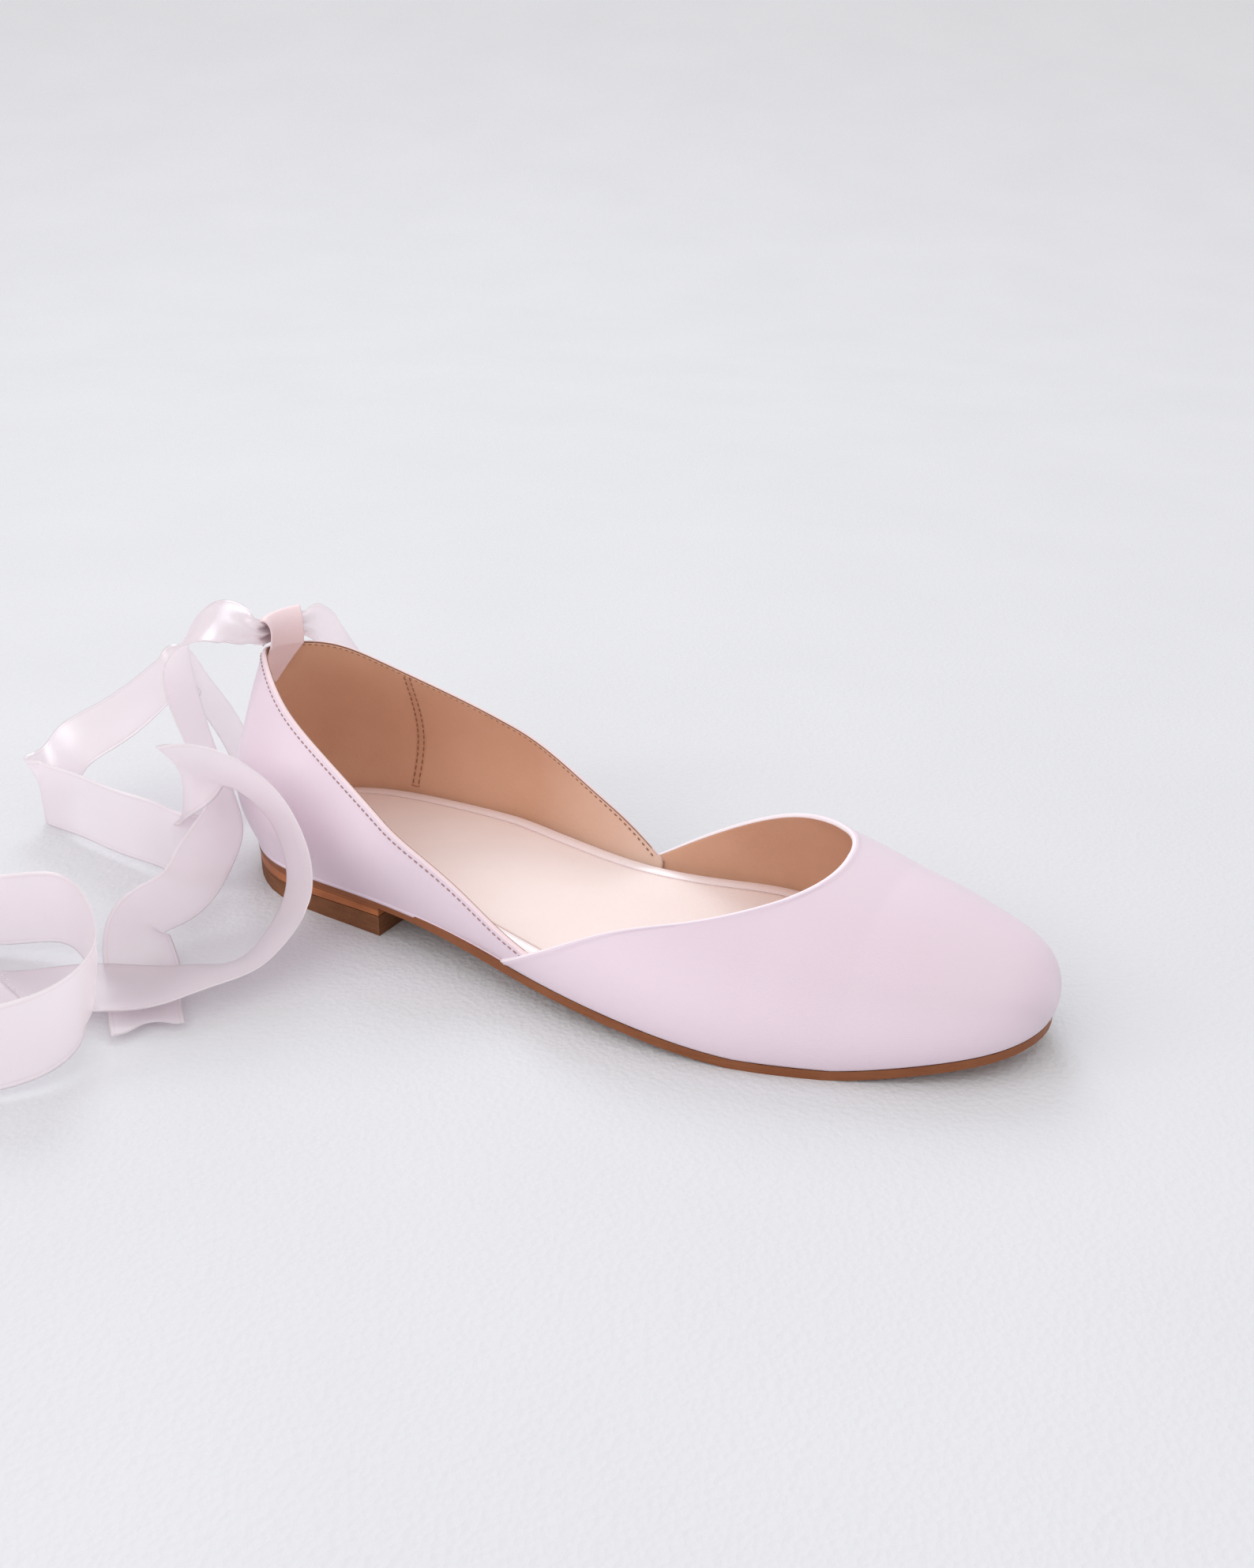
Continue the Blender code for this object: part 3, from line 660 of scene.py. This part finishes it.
RIBBON_COLUMNS = 29
RIBBON_STEP = 1.2  # between two rows of the ribbon's mesh
RIBBON_SHEET = 0.16  # thickness
RIBBON_LOWEST = 0.25  # the sheet's middle stays this high above the floor
ROUTE_STEP = 0.5  # between two readings of the route
PATH_STEP = 3.0  # between two points of the path along each ribbon half
SOFTEN = 3.5  # reach over which the route is softened
SOFTEN_TWIST = 10.0  # and over which its twist is
KEEP_END = 4.0  # both ends stay as they are over this length
LEAST_SPREAD = 0.34  # of the width, where the ribbon is pinched
PLEAT_MOST = 0.12  # height of the pleats
PLEAT_RISE = 2.4  # how fast they reach it as the ribbon is gathered
PLEATS, PLEAT_PHASE = 1.6, 0.6  # across the width
PLEAT_START = (12, 26)  # length along the ribbon over which they set in
LOOP_PLEAT = 0.7  # the ribbon lies folded where it passes through the loop
LOOP_PLEATS = 2.5
LOOP_PLEAT_END = (6, 22)  # length over which these folds fade out
CUP = 0.30  # the ribbon bows a little across its width, to either side in turn
CUP_TURN, CUP_PHASE = 0.085, 1.0  # radians per millimetre, and at its start
END_REACH = 30.0  # length over which the rows turn like the cut end
FRAY_THREADS = 96
FRAY_ROOT = 0.6  # a loose thread starts this far inside the cut end


class Route:
    """A ribbon half as functions of the length along it, softened as limp cloth is."""

    def __init__(self, table):
        x, y, z, heading, tilt, share = columns(table)
        heading, tilt = np.radians(heading), np.radians(tilt)
        middle = np.stack([x, y, z], 1)
        across = np.stack([np.cos(heading) * np.cos(tilt), np.sin(heading) * np.cos(tilt),
                           np.sin(tilt)], 1)
        walk = walked(middle)
        self.length = walk[-1]
        self.fine = np.linspace(0, self.length, int(self.length / ROUTE_STEP) + 1)
        self.middles = [self.soften(spline(walk, column)(self.fine), SOFTEN)
                        for column in middle.T]
        self.acrosses = [self.soften(spline(walk, column)(self.fine), SOFTEN_TWIST)
                         for column in across.T]
        self.share = self.soften(np.interp(self.fine, walk, share), SOFTEN)

    def soften(self, values, reach):
        """Running mean with a soft window, which fades out towards both ends."""
        count = int(3 * reach / ROUTE_STEP)
        window = np.exp(-0.5 * (np.arange(-count, count + 1) * ROUTE_STEP / reach) ** 2)
        mean = np.convolve(np.pad(values, count, "edge"), window / window.sum(), "valid")
        to_end = np.minimum(self.fine, self.length - self.fine)
        return values + (mean - values) * ease(to_end, KEEP_END, KEEP_END + 2 * reach)

    def read(self, at, curves):
        return np.stack([np.interp(at, self.fine, curve) for curve in curves], -1)

    def middle(self, at):
        return self.read(at, self.middles)

    def ahead(self, at):
        low, high = np.clip(at - 1.0, 0, self.length), np.clip(at + 1.0, 0, self.length)
        return unit(self.middle(high) - self.middle(low))

    def across(self, at):
        ahead = self.ahead(at)
        across = self.read(at, self.acrosses)
        return unit(across - ahead * (across * ahead).sum(-1, keepdims=True))

    def spread(self, at):
        return np.maximum(np.interp(at, self.fine, self.share), LEAST_SPREAD)


def wavy_end(a):
    """Shape of the outer half's cut end: length past the route's end, by place across."""
    return -1.2 - 1.6 * np.cos(a * 2 * np.pi * 1.15 + 0.4)


def slanted_end(a):
    """The same for the inner half."""
    return -8.5 - 15.0 * a


def ribbon_points(route, end_shape, steps):
    """Grid of a ribbon half's middle surface, and its UV. a runs -0.5 to 0.5 across it."""
    a = np.linspace(-0.5, 0.5, RIBBON_COLUMNS)[None, :]
    s = np.linspace(0, route.length, steps)[:, None]
    pull = ease(s, route.length - END_REACH, route.length)
    at = np.clip(s + pull * end_shape(a), 0, route.length)
    share = route.spread(at)
    across = route.across(at)
    face = np.cross(route.ahead(at), across)
    # Where the ribbon is pinched, its spare width stands in pleats.
    pleats = np.minimum(PLEAT_MOST, (1 - share) * PLEAT_RISE)
    pleats = pleats * np.cos(a * 2 * np.pi * PLEATS + PLEAT_PHASE) * ease(at, *PLEAT_START)
    folds = LOOP_PLEAT * (1 - ease(at, *LOOP_PLEAT_END)) * np.sin(a * 2 * np.pi * LOOP_PLEATS)
    cup = CUP * np.cos(a * np.pi * 2) * share * np.sin(at * CUP_TURN + CUP_PHASE)
    points = route.middle(at) + across * (a * share * RIBBON_WIDTH)[..., None]
    points = points + face * (pleats + folds + cup)[..., None]
    points[..., 2] = np.maximum(points[..., 2], RIBBON_LOWEST)
    uv = np.stack([(a + 0.5) * RIBBON_WIDTH + 0 * at, at], -1).reshape(-1, 2)
    return points, uv


def make_ribbons(satin, thread):
    """Both free halves of the ribbon, and the fray of the inner one."""
    outer = Route(OUTER_RIBBON)
    inner = Route(INNER_RIBBON)
    pieces = []
    for name, node, route, end_shape in (
            ("ribbon_outer_satin", "ribbon_outer", outer, wavy_end),
            ("ribbon_inner_satin", "ribbon_inner", inner, slanted_end)):
        points, uv = ribbon_points(route, end_shape, int(route.length / RIBBON_STEP))
        piece = shell(name, points, satin, RIBBON_SHEET, 0.0, uv)
        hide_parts(node)
        pieces.append((piece, route))
    fray = ribbon_fray(inner, slanted_end, thread)
    for (piece, route), on_it in zip(pieces, ([], [fray])):
        at = np.linspace(0, route.length, int(route.length / PATH_STEP))
        path = route.middle(at) * MM + SHIFT


def ribbon_fray(route, end_shape, thread):
    """Loose warp threads at the raw cut end."""
    random = np.random.default_rng(SEED)
    paths = []
    for a in np.linspace(-0.49, 0.49, FRAY_THREADS):
        end = min(route.length, route.length + end_shape(a))
        root = route.middle(end - FRAY_ROOT) + route.across(end - FRAY_ROOT) * a * RIBBON_WIDTH
        ahead, across = route.ahead(end), route.across(end)
        face = np.cross(ahead, across)
        reach = random.uniform(0.8, 3.4)
        lean = random.normal(0, 0.28)
        curl = random.normal(0, 0.22)
        t = np.linspace(0, 1, 5)[:, None]
        paths.append(root + reach * (t * ahead + t ** 2 * (lean * across + curl * face)))
    return tubes("ribbon_fray", paths, 0.07, thread, sides=4)


# ---- upper

VAMP_COLUMNS, VAMP_ROWS = 260, 120
QUARTER_COLUMNS, QUARTER_ROWS = 420, 90
SATIN_SKIN = 0.35
LINING_SKIN = 0.45
LINING_DEPTH = WALL - 0.05  # of its inner face, from the satin's outer face
LINING_DROP = 0.35  # from the satin's fold to the quarter's lining
# The dark line between satin fold and lining is painted shade of the gap there.
GAP_SHADE_RADIUS = 0.16  # radius of the dark line between the two

# The satin's fold over the topline, then a raised bead and a groove.
FOLD_CLEAR = 1.2  # fold radii down to where the face goes on
VAMP_FOLD, QUARTER_FOLD = 170.0, 118.0  # degrees of the satin's turn
VAMP_BEAD, QUARTER_BEAD = 1.5, 0.9  # width of the bead
BEAD_RISE, GROOVE_DEPTH = 0.28, 0.12
GROOVE_PLACE, GROOVE_HALF, GROOVE_FADE = 1.1, 0.12, 1.35  # in bead widths
VAMP_LAP, QUARTER_LAP = 1.5, 0.95  # satin over the sole's edge
LAP_START = 0.3  # it stands out furthest this far down
LAP_OUT, LAP_END_OUT = 0.16, 0.14  # and by this much, then this much at its end

STITCH_PITCH = 2.0
STITCH_LENGTH = 1.25
STITCH_POINTS = 6
STITCH_MARGIN = 1.0  # the row starts this far from the quarter's tip
STITCH_DEPTH, LINING_STITCH_DEPTH = 1.75, 1.3  # below the top edge
STITCH_TURN = QUARTER_END - 0.006

# Side seam of the lining.
SEAM_TURNS = (-0.253, -0.243)  # at its top and at its foot
SEAM_DROP = 2.0  # below the top edge
SEAM_FOOT = INSOLE_THICKNESS + 1.0
SEAM_HALF = 1.7  # half its width
SEAM_RISE, SEAM_SUNK = 0.30, 0.05  # of its middle, and of its edges
SEAM_ROWS = (-1.0, 1.0)  # stitch rows, from its middle
SEAM_DENT, SEAM_DENT_HALF = 0.10, 0.25  # that each row pulls into it
SEAM_PITCH, SEAM_STITCH = 2.1, 1.35
SEAM_STITCH_BOW, SEAM_STITCH_RISE = 0.08, 0.22
SMALL_TURN = 0.002


def rolled(outer, bead, lap, fold_to):
    """Add the fold above a grid whose first row is the topline, raise a bead of that width
    below it, and lap the last row over the edge of the sole."""
    radius = WALL / 2
    normals = grid_normals(outer)
    normal = normals[0]
    down = unit(outer[2] - outer[0])
    down = unit(down - normal * (down * normal).sum(-1, keepdims=True))
    centre = outer[0] + radius * down - radius * normal
    fold = [centre + radius * (normal * math.cos(angle) - down * math.sin(angle))
            for angle in np.radians(np.linspace(fold_to, 0, FOLD_STEPS))]
    travel = ((outer - outer[0]) * down).sum(-1)
    below = np.clip((travel - radius) / bead, 0, GROOVE_FADE)
    swollen = BEAD_RISE * np.sin(np.pi * np.clip(below, 0, 1)) ** 0.7
    groove = GROOVE_DEPTH * np.exp(-((below - GROOVE_PLACE) / GROOVE_HALF) ** 2)
    body = outer + normals * (swollen - groove)[..., None]
    clear = travel.min(1) > radius * FOLD_CLEAR
    out = unit(normals[-1] * [1.0, 1.0, 0.0])
    foot = [outer[-1] + out * LAP_OUT - [0, 0, LAP_START],
            outer[-1] + out * LAP_END_OUT - [0, 0, lap]]
    return np.concatenate([np.stack(fold), body[clear], np.stack(foot)])


def vamp_grid():
    """Outer face of the vamp, from its top edge down to the sole."""
    u = np.linspace(0, 1, VAMP_COLUMNS)[None, :]
    v = np.linspace(0, 1, VAMP_ROWS)[:, None] ** 1.15
    share = vamp_edge_share(u) + v * (1 - vamp_edge_share(u))
    across = np.broadcast_to(vamp_edge_across(u), share.shape)
    return vamp(share, across)


def quarter_grid(drop=0.0):
    """Outer face of the quarter, from drop below its top edge down to the sole."""
    turn = np.linspace(-QUARTER_END, QUARTER_END, QUARTER_COLUMNS)[None, :]
    part = np.linspace(0, 1, QUARTER_ROWS)[:, None]
    return quarter(turn + 0 * part, (quarter_edge_height(turn) - drop) * (1 - part))


def offset_in(points, depth):
    return points - grid_normals(points) * depth


def make_upper(satin, fold, trim, lining, cup, seam, thread, hole):
    """Satin and lining of both parts. fold and trim are the satin of vamp and quarter where it
    turns over the edge, and fold is painted paler, a painted highlight on the vamp's edge.
    cup is the quarter's lining, and hole is the thread sunk in leather, which also colours
    the dark tube in the gap at the lining's edge, a painted shade."""
    outer = vamp_grid()
    vamp_satin = shell("vamp_satin", rolled(outer, VAMP_BEAD, VAMP_LAP, VAMP_FOLD),
                       satin, SATIN_SKIN, crest=fold)
    # The lining's first row would stand in the fold.
    vamp_lining = shell("vamp_lining", offset_in(outer, LINING_DEPTH)[1:],
                        lining, LINING_SKIN, 1.0)
    face = rolled(quarter_grid(), QUARTER_BEAD, QUARTER_LAP, QUARTER_FOLD)
    quarter_satin = shell("quarter_satin", face, satin, SATIN_SKIN, crest=trim)
    # painted shade: a dark tube in the gap along the fold's inner edge, next to the lining
    tubes("lining_gap_shade", [face[0, 4:-4]], GAP_SHADE_RADIUS, hole)
    inside = offset_in(quarter_grid(LINING_DROP), LINING_DEPTH)
    quarter_lining = shell("quarter_lining", inside, cup, LINING_SKIN, 1.0)
    for piece in (vamp_satin, vamp_lining, quarter_satin, quarter_lining):
        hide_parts("upper")
    topline_stitches(thread, hole)
    lining_seam(seam, hole)


def below_edge(turns, depth, out):
    """Points of the quarter's face, depth away from its sloping top edge and raised by out."""
    step = 1e-3
    run = np.linalg.norm((edge_point(turns + step) - edge_point(turns - step))[..., :2], axis=-1)
    slope = (quarter_edge_height(turns + step) - quarter_edge_height(turns - step)) / run
    return quarter(turns, quarter_edge_height(turns) - depth * np.hypot(1, slope), out)


def topline_stitches(thread, hole):
    """The row through satin and lining: a thread outside, and its dimples in the lining."""
    turns = np.linspace(-STITCH_TURN, STITCH_TURN, 4000)
    walk = walked(below_edge(turns, STITCH_DEPTH, 0.02))
    for name, depth, out, bow, radius, first, last, material in (
            ("topline_stitches", STITCH_DEPTH, 0.05, 0.08, 0.21, 0.0, STITCH_LENGTH, thread),
            ("lining_stitches", LINING_STITCH_DEPTH, -WALL - 0.02, -0.06, 0.24, 0.2, 1.2, hole)):
        arch = out + bow * np.sin(np.linspace(0, np.pi, STITCH_POINTS))
        paths = []
        for start in np.arange(STITCH_MARGIN, walk[-1] - STITCH_LENGTH, STITCH_PITCH):
            along_row = np.linspace(start + first, start + last, STITCH_POINTS)
            paths.append(below_edge(np.interp(along_row, walk, turns), depth, arch))
        tubes(name, paths, radius, material)


def lining_seam(leather, hole):
    """Raised seam down the inner side of the lining, with a row of stitches on each side."""
    top = float(quarter_edge_height(SEAM_TURNS[0])) - SEAM_DROP

    def turn_at(height):
        return np.interp(height, (INSOLE_THICKNESS, top), SEAM_TURNS[::-1])

    heights = np.linspace(top, SEAM_FOOT, 60)
    turns = turn_at(heights)
    step = edge_point(turns + SMALL_TURN) - edge_point(turns)
    per_mm = SMALL_TURN / np.linalg.norm(step, axis=-1)
    across = np.linspace(-SEAM_HALF, SEAM_HALF, 25)
    rise = SEAM_RISE * np.maximum(np.cos(across / SEAM_HALF * np.pi / 2), 0) ** 0.5 - SEAM_SUNK
    for row in SEAM_ROWS:
        rise -= SEAM_DENT * np.exp(-((across - row) / SEAM_DENT_HALF) ** 2)
    points = np.stack([quarter(turns + per_mm * a, heights, -WALL - up)
                       for a, up in zip(across, rise)], 1)
    strip = shell("lining_seam", points, leather, 0.35, 1.0)
    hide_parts("upper")
    arch = -SEAM_STITCH_BOW * np.sin(np.linspace(0, np.pi, 5)) - SEAM_STITCH_RISE
    paths = []
    for row in SEAM_ROWS:
        for start in np.arange(SEAM_FOOT + 1.0, top - 1.0, SEAM_PITCH):
            height = np.linspace(start, start + SEAM_STITCH, 5)
            paths.append(quarter(turn_at(height) + per_mm[0] * row, height, -WALL + arch))
    tubes("seam_stitches", paths, 0.21, hole)


# ---- heel loop

LOOP_ROWS, LOOP_COLUMNS = 90, 48
LOOP_SKIN = 0.6
LOOP_BULGE, BULGE_WAVE = 0.12, 6.0  # soft waves of the folded satin, a radian every 6 mm
TAIL_DROP = 13.0  # the sewn-in tail ends this far below the edge
TAIL_TAPER = 0.055  # turns that it loses there on its inner side


def make_loop(trim):
    """Folded ribbon over the back edge, whose tail is sewn in inside."""
    rise, out = columns(((-TAIL_DROP, LOOP_PROFILE[0][1]),) + LOOP_PROFILE[1:])
    length = walked(np.stack([rise, out], 1))
    walk = np.linspace(0, length[-1], LOOP_ROWS)
    rise = spline(length, rise)(walk)[:, None]
    out = spline(length, out)(walk)[:, None]
    first, last = LOOP_SPAN
    turn = np.linspace(first, last, LOOP_COLUMNS)[None, :] + 0 * rise
    taper = TAIL_TAPER * np.clip(-rise / TAIL_DROP, 0, 1)
    turn = turn + taper * (last - turn) / (last - first)
    points = quarter(turn, quarter_edge_height(turn) + np.minimum(rise, 0), out)
    points[..., 2] += np.maximum(rise, 0) * (1 + LOOP_TILT * (last - turn))
    a = np.linspace(-1, 1, LOOP_COLUMNS)[None, :]
    bulge = LOOP_BULGE * np.cos(a * np.pi) * np.sin(walk / BULGE_WAVE)[:, None]
    points = points + grid_normals(points) * bulge[..., None]
    piece = shell("heel_loop_satin", points, trim, LOOP_SKIN, 0.0)
    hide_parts("heel_loop")


# ---- insole

RIM_WIDTH = 5.0  # satin-wrapped edge, up to the sock
RIM_ROUND = 0.9
RIM_SWELL = 0.40
RIM_SKIN = 0.3
SOCK_INSET = RIM_WIDTH + 0.1
SOCK_RISE = 0.10  # its face above the insole's
SOCK_ROLL, SOCK_ROLL_WIDTH = 0.14, 0.9  # how far, and over what width, its edge rolls down
SOCK_SKIN = 1.2
WAIST_START = (0.36, 0.42)  # shares where the upper lies double
WAIST_END = (0.53, 0.60)


def insole_inset(share):
    """Inset of the insole's edge from the sole's."""
    waist = ease(share, *WAIST_START) * (1 - ease(share, *WAIST_END))
    return INSOLE_INSET + (WAIST_INSET - INSOLE_INSET) * waist


def insole_ring(turns, inset, height):
    """Line inside the insole's edge, height above its underside."""
    share = np.where(turns <= 1, turns, 2 - turns)
    edge = edge_point(turns)
    plan = edge[..., :2] - edge_outward(turns) * (insole_inset(share) + inset)[..., None]
    return np.concatenate([plan, (sole_top(plan[..., 0:1]) + GAP + height)], -1)


def make_insole(satin, leather, cut_edge_and_gap_shade):
    """Satin-wrapped rim, the leather sock inside it, and fine dark tubes along its edges: cut
    leather edges, and painted shade of the gaps there.
    """
    profile = [(0.0, 0.05)]
    profile += [(RIM_ROUND * (1 - math.cos(t)), INSOLE_THICKNESS - RIM_ROUND * (1 - math.sin(t)))
                for t in np.radians(np.linspace(0, 90, 6))]
    profile += [(inset, INSOLE_THICKNESS
                 + RIM_SWELL * math.sin(math.pi * (inset - RIM_ROUND) / RIM_WIDTH))
                for inset in np.linspace(RIM_ROUND + 0.3, RIM_WIDTH, 8)]
    profile += [(RIM_WIDTH + 0.15, INSOLE_THICKNESS - 0.15)]
    turns = np.linspace(0, 2, 721)
    rings = np.stack([insole_ring(turns, inset, height) for inset, height in profile])
    rim = shell("insole_rim", rings, satin, RIM_SKIN, 1.0)
    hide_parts("insole")

    share = np.linspace(0.012, 0.988, 200)
    outer = insole_ring(share, SOCK_INSET, INSOLE_THICKNESS)
    inner = insole_ring(2 - share, SOCK_INSET, INSOLE_THICKNESS)
    blend = np.linspace(0, 1, 50)[:, None, None]
    points = outer * (1 - blend) + inner * blend
    edge = np.minimum(np.linalg.norm(points - outer, axis=-1),
                      np.linalg.norm(points - inner, axis=-1))
    points[..., 2] += SOCK_RISE - SOCK_ROLL * (1 - ease(edge, 0.0, SOCK_ROLL_WIDTH))
    sock = shell("insole_sock", points, leather, SOCK_SKIN, 1.0)
    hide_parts("insole")

    # Dark tubes at the sock's edge and the insole's foot: cut leather edges and painted shade of
    # the gaps.
    waist = insole_ring(np.linspace(0.34, 0.62, 120), SOCK_INSET, INSOLE_THICKNESS + 0.02)
    foot = insole_ring(np.linspace(0, 2, 600), 0.02, INSOLE_THICKNESS - 0.75)
    tubes("insole_edges_and_gap_shade", [waist, foot], 0.15, cut_edge_and_gap_shade, sides=6)


# ---- stage

# The board, in metres: flat for a stretch behind the shoe, then a wide bend up.
BOARD_FRONT, BOARD_FLAT, BOARD_HALF = 6.0, 0.9, 6.0
BOARD_BEND, BOARD_RISE = 2.6, 44.0  # radius, and degrees of the bend
WINDOW_FROM = (-0.62, 0.88, 0.88)
WINDOW_ANGLE = 24.0
WINDOW_POWER = 0.64
WINDOW_COLOUR = (0.86, 0.93, 1.0)
SKY_COLOUR, SKY_POWER = (1.0, 0.98, 0.975), 0.885
#         name, place, aim, width and height in metres, watts, colour
LAMPS = (("front", (-0.5, -1.5, 1.1), (0, 0, 0.02), (1.6, 1.0), 6.0, (1.0, 0.975, 0.965)),
         ("strip", (-1.45, -1.2, 0.8), (-0.1, -0.03, 0.03), (0.45, 0.80), 4.0, (0.98, 0.98, 1.0)))


def make_camera():
    """Camera from its angles and its aim, in the drawing's millimetres."""
    yaw, pitch, roll = (math.radians(a) for a in (CAMERA_YAW, CAMERA_PITCH, CAMERA_ROLL))
    ahead = Vector((math.sin(yaw) * math.cos(pitch), math.cos(yaw) * math.cos(pitch),
                    -math.sin(pitch)))
    level = Vector((math.cos(yaw), -math.sin(yaw), 0))
    upward = level.cross(ahead)
    right = level * math.cos(roll) + upward * math.sin(roll)
    up = upward * math.cos(roll) - level * math.sin(roll)
    turned = Matrix((right, up, -ahead)).transposed().to_4x4()
    place = Vector(SHIFT) + (Vector(CAMERA_AIM) - ahead * CAMERA_DISTANCE) * MM
    camera = add_to_scene("camera", bpy.data.cameras.new("camera"))
    camera.matrix_world = Matrix.Translation(place) @ turned
    camera.data.lens = CAMERA_LENS
    camera.data.clip_start = 0.01
    scene.camera = camera


def make_board():
    """Pale board that bends up into a backdrop far behind."""
    profile = [(-BOARD_FRONT, 0.0), (BOARD_FLAT, 0.0)]
    profile += [(BOARD_FLAT + BOARD_BEND * math.sin(t), BOARD_BEND * (1 - math.cos(t)))
                for t in np.radians(np.linspace(2, BOARD_RISE, 22))]
    yaw = math.radians(CAMERA_YAW)
    away = np.array([math.sin(yaw), math.cos(yaw)])
    side = np.array([away[1], -away[0]])
    vertices = [(*(away * distance + side * across), height)
                for distance, height in profile for across in (-BOARD_HALF, BOARD_HALF)]
    faces = [(2 * r, 2 * r + 1, 2 * r + 3, 2 * r + 2) for r in range(len(profile) - 1)]
    mesh = bpy.data.meshes.new("board")
    mesh.from_pydata(vertices, [], faces)
    mesh.shade_smooth()
    mesh.materials.append(floor_material())
    add_to_scene("board", mesh)


def make_lights():
    """Window light from behind, two soft lamps in front, and an even pale sky."""
    window = bpy.data.lights.new("window", "SUN")
    window.energy = WINDOW_POWER
    window.angle = math.radians(WINDOW_ANGLE)
    window.color = WINDOW_COLOUR
    lamp = add_to_scene("window", window)
    lamp.rotation_euler = Vector(WINDOW_FROM).to_track_quat("Z", "Y").to_euler()
    for name, place, aim, size, power, colour in LAMPS:
        light = bpy.data.lights.new(name, "AREA")
        light.shape = "RECTANGLE"
        light.size, light.size_y = size
        light.energy = power
        light.color = colour
        lamp = add_to_scene(name, light)
        lamp.location = place
        lamp.visible_camera = False
        lamp.rotation_euler = (Vector(aim) - Vector(place)).to_track_quat("-Z", "Y").to_euler()
    world = bpy.data.worlds.new("studio")
    world.use_nodes = True
    sky = world.node_tree.nodes["Background"].inputs
    sky["Color"].default_value = (*SKY_COLOUR, 1)
    sky["Strength"].default_value = SKY_POWER
    scene.world = world
    scene.view_settings.view_transform = "Standard"


def main():
    make_camera()
    make_ribbons(satin_material("ribbon_satin", RIBBON, 0.18, 0.28, gloss=0.8, coat=0.8,
                                sheen=0.3, weave=0.03, ribbon=True),
                 thread_material("ribbon_thread", RIBBON_THREAD))
    trim = satin_material("trim_satin", TRIM, 0.36, 0.5)
    make_upper(satin=satin_material("shoe_satin", SATIN, 0.38, 0.50, gloss=0.6, coat=0.15),
               # painted highlight: the vamp's fold is painted paler than its satin
               fold=satin_material("fold_painted_highlight", FOLD_PAINTED_HIGHLIGHT, 0.34, 0.46),
               trim=trim,
               lining=leather_material("lining_leather", LINING),
               # the quarter's lining is painted paler towards the toe, as painted light
               cup=leather_material("quarter_leather", LINING, painted_light=LINING_PAINTED_LIGHT),
               seam=leather_material("seam_leather", SEAM),
               thread=thread_material("pink_thread", PINK_THREAD),
               # tan thread, which also paints the shade in the gap at the lining's edge
               hole=thread_material("tan_thread_and_gap_shade", TAN_THREAD_AND_GAP_SHADE))
    make_loop(trim)
    make_insole(satin_material("rim_satin", RIM, 0.34, 0.46, gloss=0.9, coat=0.5),
                leather_material("sock_leather", SOCK, 0.5, 0.65),
                # dark edges of the insole: cut leather, and painted shade of its gaps
                leather_material("leather_edge_and_gap_shade", CUT_EDGE_AND_GAP_SHADE, 0.5, 0.7))
    for node, material in (
            ("outsole", edge_leather_material("sole_leather", SOLE, 0)),
            ("heel_stack", edge_leather_material("stacked_leather", STACK, STACK_LAYERS)),
            ("heel_top_lift", rubber_material("lift_rubber", LIFT))):
        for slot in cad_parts[node].material_slots:
            slot.material = material
    make_board()
    make_lights()


main()
